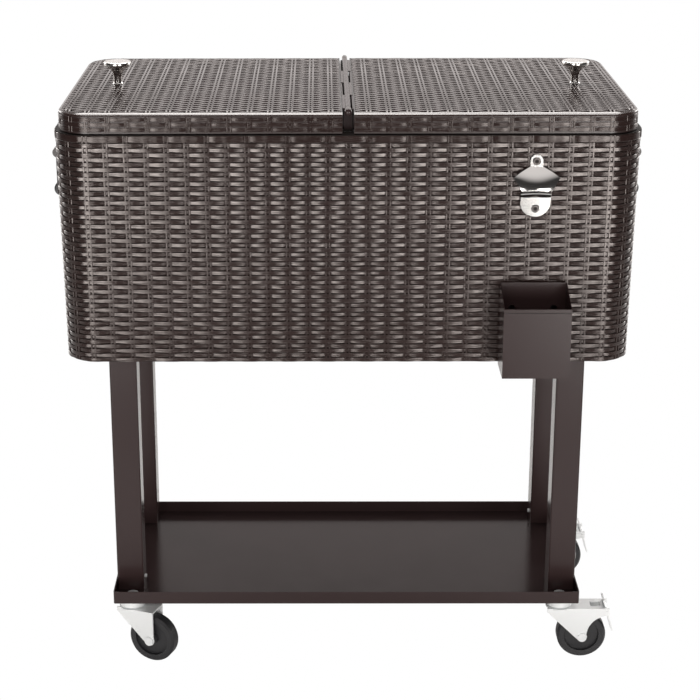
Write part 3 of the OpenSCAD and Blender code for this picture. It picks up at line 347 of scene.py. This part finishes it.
def wall(u, z, h):
    """A point on the tub's drafted wall, h outside it."""
    inset = TUB_DRAFT * (tub_high[2] - z) / (tub_high[2] - tub_low[2])
    x, y, nx, ny = outline(u, TUB_FLAT_X, TUB_FLAT_Y, TUB_R)
    out = h - inset
    return np.stack([x + nx * out, y + ny * out + MIDDLE_Y, z + 0 * x], axis=-1)


class Strips:
    """Collects strips of quads, each a grid of points, and makes them one smooth mesh."""

    def __init__(self):
        self.points, self.quads, self.count = [], [], 0

    def grid(self, points):
        rows, columns = points.shape[:2]
        index = self.count + np.arange(rows * columns).reshape(rows, columns)
        corners = [index[:-1, :-1], index[1:, :-1], index[1:, 1:], index[:-1, 1:]]
        self.points.append(points.reshape(-1, 3))
        self.quads.append(np.stack(corners, axis=-1).reshape(-1, 4))
        self.count += rows * columns

    def piece(self, name, finish, body, slot="woven", sharp=14):
        mesh = bpy.data.meshes.new(name)
        points, quads = np.concatenate(self.points), np.concatenate(self.quads)
        mesh.vertices.add(len(points))
        mesh.vertices.foreach_set("co", points.astype(np.float32).ravel())
        mesh.loops.add(quads.size)
        mesh.loops.foreach_set("vertex_index", quads.astype(np.int32).ravel())
        mesh.polygons.add(len(quads))
        mesh.polygons.foreach_set("loop_start", np.arange(0, quads.size, 4, dtype=np.int32))
        mesh.update(calc_edges=True)
        mesh.shade_smooth()
        mesh.set_sharp_from_angle(angle=radians(sharp))
        made = bpy.data.objects.new(name, mesh)
        bpy.context.scene.collection.objects.link(made)
        finish.cover(made)
        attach(made, body)
        return made


WICKER_DEEP = (0.016, 0.0075, 0.0065)
WICKER_PALE = (0.024, 0.0135, 0.012)
WICKER_STREAK = (0.008, 0.004, 0.004)
STREAK_STRENGTH = 0.4
LENGTHWISE, STRAND_GRAIN, STAKE_GRAIN = 0.02, 1.3, 0.9


def wicker(name, shine=0.75, **streak):
    """Brown moulded wicker: satin, with fine lines along each strand and a slight fading."""
    finish = Finish(name, Roughness=0.16, Specular_IOR_Level=shine,
                    Specular_Tint=(1.0, 0.93, 0.90))
    fine = finish.streaks(**streak)
    broad = finish.node("TexNoise", {}, Vector=finish.place(), Scale=9.0, Detail=1.0)
    shade = finish.mix(broad, WICKER_DEEP, WICKER_PALE)
    finish.put(Base_Color=finish.mix(fine * STREAK_STRENGTH, shade, WICKER_STREAK))
    finish.bump(fine, distance=0.35 * MM, strength=0.6)
    return finish


wall_strand = wicker("wicker_round", x=LENGTHWISE, y=LENGTHWISE, z=STRAND_GRAIN)
wall_stake = wicker("wicker_upright", x=STAKE_GRAIN, y=STAKE_GRAIN, z=LENGTHWISE)

# A strand's sections stand at RUN from the middle of each stake pair. In parts of the way to
# the next pair, its crest is level to CREST_HALF, and its flank ends at FLANK_END.
STAKES = 86
PITCH_U = ROUND / STAKES
CREST_HALF = 0.257
FLANK_END = 0.854
FLANK_CURVE = 1.5
RUN = np.array([-11, -7.4, -4.2, -2.7, 0, 2.7, 4.2, 7.4, 11, 14.4]) * MM
STRAND_HIGH = 6.5 * MM
STRAND_LOW = 5.4 * MM
STRAND_SWELL = 3
STRAND_CREST = 2.3 * MM
STRAND_TROUGH = 0.35 * MM
STRAND_HUMP = 0.1 * MM
HUMP_HALF = 1.5 * MM
STAKE_APART = 5.4 * MM
STAKE_WIDE = 3.2 * MM
STAKE_HIGH = 1.9 * MM
STAKE_FOOT = 1 * MM
SECTION_GAP = 1 * MM
SAME_PAIR = 1e-6

# Sections: the offset across in parts of the half width, and the height over the crest in mm
STRAND_SECTION = [(-1.0, -1.5), (-0.96, -0.35), (-0.84, 0.0),
                  (0.84, 0.0), (0.96, -0.35), (1.0, -1.5)]
STAKE_SECTION = [(-1.0, -1.6), (-0.9, -0.5), (-0.6, 0.0), (0.6, 0.0), (0.9, -0.5), (1.0, -1.6)]


def wave(u, row, flat=CREST_HALF):
    """How far forward a strand is: 0 behind a stake pair, 1 over the next pair, and 0 again
    behind the one after that, with flanks that are steepest where it goes behind."""
    away = np.abs(np.mod(u / PITCH_U + row, 2) - 1)
    down = np.clip((away - flat) / (FLANK_END - flat), 0, 1)
    return 1 - down ** FLANK_CURVE


def hump(u):
    """How far a strand is pushed out where it passes over a stake."""
    away = np.abs(np.mod(u / PITCH_U + 0.5, 1) - 0.5) * PITCH_U
    return np.clip(1 - np.abs(away - STAKE_APART / 2) / HUMP_HALF, 0, 1)


def run(u0, u1):
    """Where a strand's sections stand between u0 and u1: closest at the stake pairs."""
    pairs = np.arange(int(u0 / PITCH_U) - 1, int(u1 / PITCH_U) + 2)
    u = (pairs[:, None] * PITCH_U + RUN).ravel()
    return np.concatenate([[u0], u[(u > u0 + SECTION_GAP) & (u < u1 - SECTION_GAP)], [u1]])


def half_height(forward, high=STRAND_HIGH):
    """Half a strand's height, which swells where the strand comes forward."""
    whole = STRAND_LOW + (STRAND_HIGH - STRAND_LOW) * forward ** STRAND_SWELL
    return whole / STRAND_HIGH * high / 2


def strand(strips, u0, u1, z, row, surface, high=STRAND_HIGH, crest=STRAND_CREST,
           trough=STRAND_TROUGH, flat=CREST_HALF):
    """One strand round a stretch of a face, with its middle at height z."""
    u = run(u0, u1)
    forward = wave(u, row, flat)
    half = half_height(forward, high)
    out = trough + (crest - trough) * forward + STRAND_HUMP * hump(u) * forward
    strips.grid(np.stack([surface(u, z + across * half, out + up * MM)
                          for across, up in STRAND_SECTION], axis=1)[:, ::-1])


def stakes(strips, u0, u1, z0, z1, surface, high=STAKE_HIGH):
    """The pairs of stakes that stand between u0 and u1."""
    z = np.linspace(z0, z1, 3)
    first, last = (int(np.ceil(u / PITCH_U - SAME_PAIR)) for u in (u0, u1))
    for k in range(first, last):
        for place in (-STAKE_APART / 2, STAKE_APART / 2):
            u = k * PITCH_U + place + np.zeros_like(z)
            strips.grid(np.stack([surface(u + across * STAKE_WIDE / 2, z, high + up * MM)
                                  for across, up in STAKE_SECTION], axis=1))


# The weave is made in four lengths that meet in the middle of the corners
HALF_FRONT = TUB_FLAT_X + TUB_R * pi / 4
HALF_ROUND = ROUND / 2
for where, u0, u1 in (("front", -HALF_FRONT, HALF_FRONT),
                      ("right", HALF_FRONT, HALF_ROUND - HALF_FRONT),
                      ("back", HALF_ROUND - HALF_FRONT, HALF_ROUND + HALF_FRONT),
                      ("left", HALF_ROUND + HALF_FRONT, ROUND - HALF_FRONT)):
    bands, posts = Strips(), Strips()
    for row in range(ROWS):
        strand(bands, u0, u1, tub_high[2] - (row + 0.5) * ROW_HIGH, row, wall)
    stakes(posts, u0, u1, tub_low[2] + STAKE_FOOT, tub_high[2], wall)
    bands.piece("weave_" + where, wall_strand, "cart")
    posts.piece("stakes_" + where, wall_stake, "cart")

# Rim band. One taller strand of the same moulding runs all round, a little in front of the
# wall, and passes in front of every other stake pair, as the rows below it do.

# Crests on the rim and the lids' sides are longer than the tub's: LONG_FLAT, not CREST_HALF
LONG_FLAT = 0.618
RIM_CREST = 0.9 * MM
RIM_TROUGH = 0.2 * MM
RIM_STAKE = 0.8 * MM
RIM_MARGIN = 0.5 * MM
EDGE_SHINE = 0.45
rim_low, rim_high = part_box("tub_rim")
RIM_OUT = rim_high[0] - (TUB_FLAT_X + TUB_R)


def upright_face(flat_x, flat_y, r, shift=0):
    """A face without draft, round the tub's middle, that gives the points h outside it."""
    def face(u, z, h):
        x, y, nx, ny = outline(u + shift, flat_x, flat_y, r)
        return np.stack([x + nx * h, y + ny * h + MIDDLE_Y, z + 0 * x], axis=-1)
    return face


rim_face = upright_face(TUB_FLAT_X, TUB_FLAT_Y, TUB_R + RIM_OUT)
rim_foot, rim_head = rim_low[2] + RIM_MARGIN, rim_high[2] - RIM_MARGIN
bands, posts = Strips(), Strips()
strand(bands, 0, ROUND, (rim_foot + rim_head) / 2, 1, rim_face, high=rim_head - rim_foot,
       crest=RIM_CREST, trough=RIM_TROUGH, flat=LONG_FLAT)
stakes(posts, 0, ROUND, rim_foot, rim_head, rim_face, high=RIM_STAKE)
edge_strand = wicker("wicker_round_edge", EDGE_SHINE, x=LENGTHWISE, y=LENGTHWISE, z=STRAND_GRAIN)
edge_stake = wicker("wicker_upright_edge", EDGE_SHINE, x=STAKE_GRAIN, y=STAKE_GRAIN, z=LENGTHWISE)
bands.piece("rim_weave", edge_strand, "cart")
posts.piece("rim_stakes", edge_stake, "cart")
# The rim's shell shows the same painted shade through the gaps of its weave.
shade_backing.cover("tub_rim")

# Lids. Each is a moulded cover, filled with foam and closed by a white panel with a soft seal.
# The cover has a smooth rolled edge, three rows of the weave on its sides, and the weave across
# its top, with the stakes running from front to back.

LID_R = 45.5 * MM
LID_ROWS = 3
LID_ROW = 7.35 * MM
LID_STRAND = 6.2 * MM
LID_CREST = 0.8 * MM
LID_TROUGH = 0.2 * MM
LID_STAKE = 0.8 * MM
LID_FOOT = 2.0 * MM
EDGE_STEPS = 240
EDGE_SECTION = np.array([(-4.9, -0.4), (-4.8, 0.6), (-4.5, 0.7), (-0.7, -1.3), (-0.35, -1.9),
                         (-0.05, -3.2)]) * MM

# How far round the tub's own stakes each lid's are set off
LID_SHIFT = {"left": 3.8 * MM, "right": 0.0}

# The top's strands and stakes run down to its smooth edge over their last 8 mm
TOP_INSET = 4.5 * MM
TOP_R = LID_R - TOP_INSET
TOP_START = 2 * MM
TOP_ROW = 7.0 * MM
TOP_CREST = 1.75 * MM
TOP_TROUGH = 0.1 * MM
TOP_STAKE = 2.2 * MM
TOP_STAKE_END = 0.35 * MM
FADE = 8 * MM
FADE_START = 0.15
SHADE_DEPTH = 0.2 * MM

top_strand = wicker("wicker_across", x=LENGTHWISE, y=STRAND_GRAIN, z=LENGTHWISE)
top_stake = wicker("wicker_along", x=STAKE_GRAIN, y=LENGTHWISE, z=LENGTHWISE)
lid_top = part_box("knob_left")[0][2]
# The cover is painted near black just under the top weave: painted shade for the weave's gaps.
lid_skin = Finish("lid_skin", Roughness=0.3)
height = lid_skin.node("SeparateXYZ", {}, lid_skin.place(), output="Z")
shade_under_weave = height > lid_top - SHADE_DEPTH
lid_skin.put(Base_Color=lid_skin.mix(shade_under_weave, (0.026, 0.016, 0.015), SHADE_BROWN))
lid_edge = Finish("lid_rolled_edge", Base_Color=(0.030, 0.017, 0.015), Specular_IOR_Level=0.9)
lid_edge.rough(lid_edge.specks(0.03), least=0.13, spread=0.06)
black = Finish("black_plastic", Base_Color=(0.022, 0.022, 0.024), Roughness=0.42)
black.bump(black.specks(0.9, detail=3.0), distance=0.1 * MM, strength=0.4)


def top_end(off, flat_off, flat_along, half_width):
    """How far a strip reaches on the top when it lies off to one side: to the straight edge,
    or to the round corner past the flat part."""
    if off <= flat_off:
        return flat_along + TOP_R
    return flat_along + sqrt(max(0, TOP_R ** 2 - (off - flat_off + half_width) ** 2))


def top_face(sign, x, y, z):
    """A point over a lid's top: x outwards from the hinge, and y from its middle."""
    return np.stack(np.broadcast_arrays(sign * x, y + MIDDLE_Y, z), axis=-1)


for name, sign in (("left", -1), ("right", 1)):
    body = "lid_" + name
    low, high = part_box(body + "_shell")
    outer = abs(low[0]) if sign < 0 else high[0]
    inner = abs(high[0]) if sign < 0 else low[0]
    half = (high[1] - low[1]) / 2
    flat_x, flat_y = outer - LID_R, half - LID_R
    shift = LID_SHIFT[name]
    side_face = upright_face(flat_x, flat_y, LID_R, shift)

    start, stop = inner, HALF_ROUND - inner
    if sign < 0:
        start, stop = HALF_ROUND + inner, ROUND - inner
    start, stop = start - shift, stop - shift
    foot = low[2] + LID_FOOT
    bands, posts, edge = Strips(), Strips(), Strips()
    for row in range(LID_ROWS):
        strand(bands, start, stop, foot + (LID_ROWS - 0.5 - row) * LID_ROW, row, side_face,
               high=LID_STRAND, crest=LID_CREST, trough=LID_TROUGH, flat=LONG_FLAT)
    stakes(posts, start, stop, foot, foot + LID_ROWS * LID_ROW, side_face, high=LID_STAKE)
    around = np.linspace(start, stop, EDGE_STEPS + 1)
    edge.grid(np.stack([side_face(around, lid_top + up, out)
                        for out, up in EDGE_SECTION], axis=1))

    reach_y = half - TOP_INSET
    count = int(round(2 * reach_y / TOP_ROW))
    step = 2 * reach_y / count
    tops, rails = Strips(), Strips()
    for row in range(count):
        y = -reach_y + (row + 0.5) * step
        far = top_end(abs(y), flat_y, flat_x, step / 2) + shift
        x = run(inner + TOP_START + shift, far)
        forward = wave(x, row)
        breadth = half_height(forward)
        inside = np.clip(np.minimum(reach_y - abs(y), far - x) / FADE + FADE_START, 0, 1)
        lift = (lid_top + TOP_TROUGH + (TOP_CREST - TOP_TROUGH) * forward * inside
                + STRAND_HUMP * hump(x) * forward)
        tops.grid(np.stack([top_face(sign, x - shift, y + across * breadth, lift + up * MM)
                            for across, up in STRAND_SECTION], axis=1)[:, ::-sign])
    for k in range(int(np.ceil(inner / PITCH_U)), int((outer - TOP_INSET) / PITCH_U) + 1):
        for place in (-STAKE_APART / 2, STAKE_APART / 2):
            x = k * PITCH_U + place - shift
            far = top_end(x, flat_x, flat_y, STAKE_WIDE / 2)
            y = np.array([-far, FADE - far, 0, far - FADE, far])
            ridge = lid_top + np.array([TOP_STAKE_END, *3 * [TOP_STAKE], TOP_STAKE_END])
            rails.grid(np.stack([top_face(sign, x + across * STAKE_WIDE / 2, y, ridge + up * MM)
                                 for across, up in STAKE_SECTION], axis=1)[:, ::-sign])

    bands.piece(body + "_side_weave", edge_strand, body)
    posts.piece(body + "_side_stakes", edge_stake, body)
    tops.piece(body + "_top_weave", top_strand, body)
    rails.piece(body + "_top_stakes", top_stake, body)
    edge.piece(body + "_rolled_edge", lid_edge, body)
    lid_skin.cover(body + "_shell")
    foam.cover(body + "_foam")
    liner.cover(body + "_panel")
    black.cover(body + "_seal")

# Hinge. A steel rod runs from front to back between the lids, on two posts screwed to the tub,
# and a leaf on each lid turns about it. Posts and leaves have the frame's powder coat, and a
# small dome of it ends the rod in front.

painted = Finish("brown_powder_coat", Base_Color=(0.026, 0.015, 0.015), Specular_IOR_Level=0.35)
grain = painted.specks(0.8, detail=3.0)
painted.rough(grain, least=0.2, spread=0.1)
painted.bump(grain, distance=0.05 * MM, strength=0.4)
painted.cover("hinge_posts", "post_screws", "hinge_leaf_left", "hinge_leaf_right")

steel = Finish("plain_steel", Base_Color=(0.13, 0.12, 0.115), Metallic=1.0)
steel.rough(steel.streaks(x=1.2, y=0.05, z=1.2), least=0.28, spread=0.2)
steel.cover("hinge_rod")

FORWARDS = (0, -1, 0)
UPWARDS = (0, 0, 1)


def lathe(strips, profile, centre, axis, steps):
    """A turned shape: the profile gives its radius and its place along the axis, in mm."""
    turn = Vector(UPWARDS).rotation_difference(Vector(axis))
    angle = np.linspace(0, tau, steps + 1)
    across, along = np.array(turn @ Vector((1, 0, 0))), np.array(turn @ Vector((0, 1, 0)))
    spin = np.cos(angle)[:, None] * across + np.sin(angle)[:, None] * along
    strips.grid(np.stack([np.array(centre) + (r * spin + h * np.array(axis)) * MM
                          for r, h in profile], axis=1))


DOME_PROFILE = [(5.0, -4), (5.2, -2), (5.2, 0), (4.9, 1.2), (4.0, 2.3), (2.4, 3.1), (0, 3.4)]
rod_low, rod_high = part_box("hinge_rod")
rod_end = ((rod_low[0] + rod_high[0]) / 2, rod_low[1], (rod_low[2] + rod_high[2]) / 2)
dome = Strips()
lathe(dome, DOME_PROFILE, rod_end, FORWARDS, steps=32)
dome.piece("rod_dome", painted, "cart", "painted", sharp=40)

# Knobs. Each is turned from one piece of metal and plated: a thick disc on a trumpet-shaped
# stem, with a small foot on the lid, held by a screw from below.

KNOB_FOOT = [(0, 0), (7.9, 0), (8.0, 0.3), (8.0, 1.3), (7.6, 1.9), (6.9, 2.4)]
KNOB_STEM = [(6.6, 3.4), (6.5, 6), (6.5, 10), (6.8, 14), (7.5, 17.5), (8.8, 20.5), (10.8, 23.2),
             (13.4, 25.4), (16.4, 27.2), (18.9, 28.6)]
KNOB_DISC = [(20.0, 29.6), (20.4, 30.6), (20.5, 31.5), (20.5, 33.8), (20.3, 34.6), (19.8, 35.2),
             (19.0, 35.5), (17.5, 35.7), (9, 35.9), (0, 36)]

nickel = Finish("satin_nickel", Base_Color=(0.70, 0.69, 0.67), Metallic=1.0)
nickel.rough(nickel.streaks(x=0.03, y=0.03, z=0.2), least=0.2, spread=0.04)
for knob, body in (("knob_left", "lid_left"), ("knob_right", "lid_right")):
    low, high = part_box(knob)
    turning = Strips()
    seat = ((low[0] + high[0]) / 2, (low[1] + high[1]) / 2, low[2])
    lathe(turning, KNOB_FOOT + KNOB_STEM + KNOB_DISC, seat, UPWARDS, steps=72)
    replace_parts(turning.piece(knob + "_turned", nickel, body, "chrome", sharp=40), knob)
steel.cover("knob_screw_left", "knob_screw_right")

# Drain. A plastic spout through the tub's floor, with a gasket, a nut that holds it, and a cap
# that screws on from below.

black.cover("drain_spout", "drain_gasket", "drain_nut", "drain_cap")

# Legs and base panel. Square steel tube and folded sheet with a dark brown powder coat that is
# smooth and a little glossy. The legs are bolted under the tub, and an insert fills each foot.

CORNERS = ("front_left", "front_right", "back_left", "back_right")
painted.cover("base_panel", "bolt_caps", *["leg_" + corner for corner in CORNERS])
steel.cover("leg_bolts")
black.cover("foot_inserts")

# Tray. One sheet of steel with its edges folded up, in the same brown but glossier, bolted to
# the legs.

tray_coat = Finish("tray_powder_coat", Base_Color=(0.026, 0.016, 0.016),
                   Specular_Tint=(1.0, 0.93, 0.93))
tray_coat.rough(tray_coat.specks(0.02), least=0.12, spread=0.1)
tray_coat.cover("tray")
steel.cover("tray_bolts")

# Casters. A zinc-plated fork turns in a pressed bearing cup under each foot and holds a black
# wheel. The two on the right have a brake pedal. A bolt crosses each foot above them.

zinc = Finish("zinc_plate", Base_Color=(0.86, 0.88, 0.885), Metallic=0.4)
zinc.rough(zinc.specks(0.12, detail=4.0), least=0.24, spread=0.25)
zinc.cover("caster_races", "caster_bolts", "caster_nuts", "foot_bolts", "brake_front_right",
           "brake_back_right", *["fork_" + corner for corner in CORNERS])
black.cover(*["wheel_" + corner for corner in CORNERS])

# Opener. A chrome-plated plate with a tab above, a domed hood on its front, and a ledge below
# the hood that does the lifting. Two countersunk screws hold it to the tub's wall.

chrome = Finish("satin_chrome", Base_Color=(0.74, 0.735, 0.72), Metallic=1.0)
chrome.rough(chrome.specks(0.03), least=0.115, spread=0.03)

# Sizes in mm: across from the middle, out from the wall, and up or down from the plate's ends
ROUND_STEPS = 24
TAB_R = 9.6
PLATE_R = 21.75
PLATE_BACK, PLATE_SHOULDER, PLATE_FACE = 0.2, 3.0, 3.5
PLATE_BEVEL = 0.6
HOOD_DOWN = 18
LEDGE_UP = 37
TAB_LAP, FOOT_LAP, NECK_LAP = 4, 8, 4
NECK_HALF, NECK_BACK = PLATE_R - 3, 0.5
opener_low, opener_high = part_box("bottle_opener")
opener_x, opener_back = (opener_low[0] + opener_high[0]) / 2, opener_high[1]
hood_top = opener_high[2] - HOOD_DOWN * MM
ledge_top = opener_low[2] + LEDGE_UP * MM


def opener_point(x, out, z):
    """A point of the opener: x from its middle and out from the wall in mm, z in metres."""
    return np.stack(np.broadcast_arrays(opener_x + x * MM, opener_back - out * MM, z), axis=-1)


plate, hood = Strips(), Strips()
half_turn = np.linspace(0, pi, ROUND_STEPS + 1)
tab_middle, foot_middle = opener_high[2] - TAB_R * MM, opener_low[2] + PLATE_R * MM
tab_x, tab_z = TAB_R * np.cos(half_turn), tab_middle + TAB_R * MM * np.sin(half_turn)
foot_x, foot_z = PLATE_R * np.cos(half_turn), foot_middle - PLATE_R * MM * np.sin(half_turn)
for edge_x, edge_z, inner_z, order in ((tab_x, tab_z, hood_top - TAB_LAP * MM, 1),
                                       (foot_x, foot_z, ledge_top - FOOT_LAP * MM, -1)):
    inset = 1 - PLATE_BEVEL / np.abs(edge_x).max()
    middle_z = (edge_z[0] + edge_z[-1]) / 2
    rings = [(edge_x, PLATE_BACK, edge_z), (edge_x, PLATE_SHOULDER, edge_z),
             (edge_x * inset, PLATE_FACE, middle_z + (edge_z - middle_z) * inset),
             (edge_x * inset, PLATE_FACE, inner_z)]
    plate.grid(np.stack([opener_point(*ring) for ring in rings], axis=1)[:, ::order])

# The ledge is straight at its root, and its nose bows back and down towards the sides
LEDGE_SECTION = [(3.5, -8), (4.2, -7.4), (8.2, -2.6), (9.0, -1.2), (9.2, -0.4), (8.6, 0),
                 (0.2, 0)]
LEDGE_STEPS = 16
LEDGE_ROOT = 4
LEDGE_BOW_BACK, LEDGE_BOW_DOWN = 1.4, 1.5
bow = np.linspace(-1, 1, LEDGE_STEPS + 1)
plate.grid(np.stack([
    opener_point(bow * PLATE_R, out - LEDGE_BOW_BACK * bow ** 2 * (out > LEDGE_ROOT),
                 ledge_top + (up - LEDGE_BOW_DOWN * bow ** 2) * MM)
    for out, up in LEDGE_SECTION], axis=1))
neck_z = np.array([ledge_top - NECK_LAP * MM, hood_top - NECK_LAP * MM])
plate.grid(np.stack([opener_point(x, out, neck_z)
                     for x, out in ((-NECK_HALF, NECK_BACK), (-NECK_HALF, PLATE_FACE),
                                    (NECK_HALF, PLATE_FACE), (NECK_HALF, NECK_BACK))], axis=1))

# Half widths of the hood, by how far down it they are
HOOD_HALF = [(0, 9.6), (0.09, 15.2), (0.18, 20.6), (0.31, 27.2), (0.45, 33.0), (0.5, 32.2),
             (0.75, 26.6), (1, 21.7)]
HOOD_WIDEST = 33
HOOD_HIGH, HOOD_SIDE_DOWN = 29.5, 2.0
HOOD_ROOT, HOOD_OUT, HOOD_SIDE_BACK = 3.3, 18.0, 5.5
HOOD_BULGE = 1.6
HOOD_THICK, HOOD_LIP = 2.4, 0.4
HOOD_TAPER = 0.97
HOOD_CLEAR = 0.3
HOOD_ROWS, HOOD_COLUMNS = 20, 32
down = np.linspace(0, 1, HOOD_ROWS + 1)
over, under = [], []
for u in np.linspace(-1, 1, HOOD_COLUMNS + 1):
    x = np.interp(down, *np.array(HOOD_HALF).T) * u
    out = (HOOD_ROOT + HOOD_OUT * (1 - (1 - down) ** HOOD_BULGE)
           - HOOD_SIDE_BACK * (x / HOOD_WIDEST) ** 2 * down)
    z = hood_top - (HOOD_HIGH + HOOD_SIDE_DOWN * u ** 2) * down * MM
    over.append(opener_point(x, out, z))
    under.append(opener_point(x * HOOD_TAPER, np.maximum(out - HOOD_THICK, HOOD_CLEAR),
                              z - HOOD_LIP * MM * (1 - down)))
over, under = np.stack(over), np.stack(under)
hood.grid(over)
hood.grid(under[::-1])
for rim in ((over[0], under[0]), (under[-1], over[-1]), (over[:, -1][::-1], under[:, -1][::-1])):
    hood.grid(np.stack(rim, axis=0))
opener = plate.piece("opener_plate", chrome, "cart", "chrome", sharp=30)
hood.piece("opener_hood", chrome, "cart", "chrome", sharp=50)
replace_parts(opener, "bottle_opener")

# Front screws. Plain steel ones hold the opener and the catcher. The opener's two show as a
# bright sunk rim round a recess for the driver, which is painted near black as shade.

SCREW_UP, SCREW_DOWN = 12.5, 10
SUNK_RIM = [(5.9, 0), (5.7, 0.2), (4.6, 1.3), (3.4, 1.35), (3.0, 1.1)]
RECESS = [(3.1, 1.0), (2.9, 1.45), (0, 1.45)]
sunk, recess = Strips(), Strips()
for screw_z in (opener_low[2] + SCREW_UP * MM, opener_high[2] - SCREW_DOWN * MM):
    seat = (opener_x, opener_back - PLATE_FACE * MM, screw_z)
    lathe(sunk, SUNK_RIM, seat, FORWARDS, steps=40)
    lathe(recess, RECESS, seat, FORWARDS, steps=24)
sunk.piece("screw_rims", steel, "cart", "chrome", sharp=30)
recess.piece("screw_recesses", shade_backing, "cart", "chrome", sharp=30)
steel.cover("front_fixings")

# Catcher. A box of folded steel sheet, open above, that hangs on two of the front screws. The
# sheet is folded over along the front's upper edge; a dark strip paints the shade under the hem.

FRONT_HIGH = 105 * MM
HEM = 5 * MM
HEM_SHADE_IN = 0.5 * MM
HEM_SHADE_SECTION = np.array([(0.2, 0.0), (0.2, 0.9), (1.0, 1.3)]) * MM
catcher_low, catcher_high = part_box("cap_catcher")
hem_shade_x = np.array([catcher_low[0] + HEM_SHADE_IN, catcher_high[0] - HEM_SHADE_IN])
hem_shade_z = catcher_low[2] + FRONT_HIGH - HEM
hem_shade_lines = [np.broadcast_arrays(hem_shade_x, catcher_low[1] + into, hem_shade_z - below)
              for into, below in HEM_SHADE_SECTION]
hem_shade = Strips()
hem_shade.grid(np.stack([np.stack(line, axis=-1) for line in hem_shade_lines], axis=1)[::-1])
hem_shade.piece("catcher_hem_shade", shade_backing, "catcher", "painted", sharp=30)
painted.cover("cap_catcher")

# Handles. A bent steel wire with a black plastic grip hangs on two pins at each end of the tub,
# in brackets that are screwed to the wall.

painted.cover("handle_brackets", "bracket_screws", "handle_pins", "handle_left", "handle_right")
black.cover("grip_left", "grip_right")
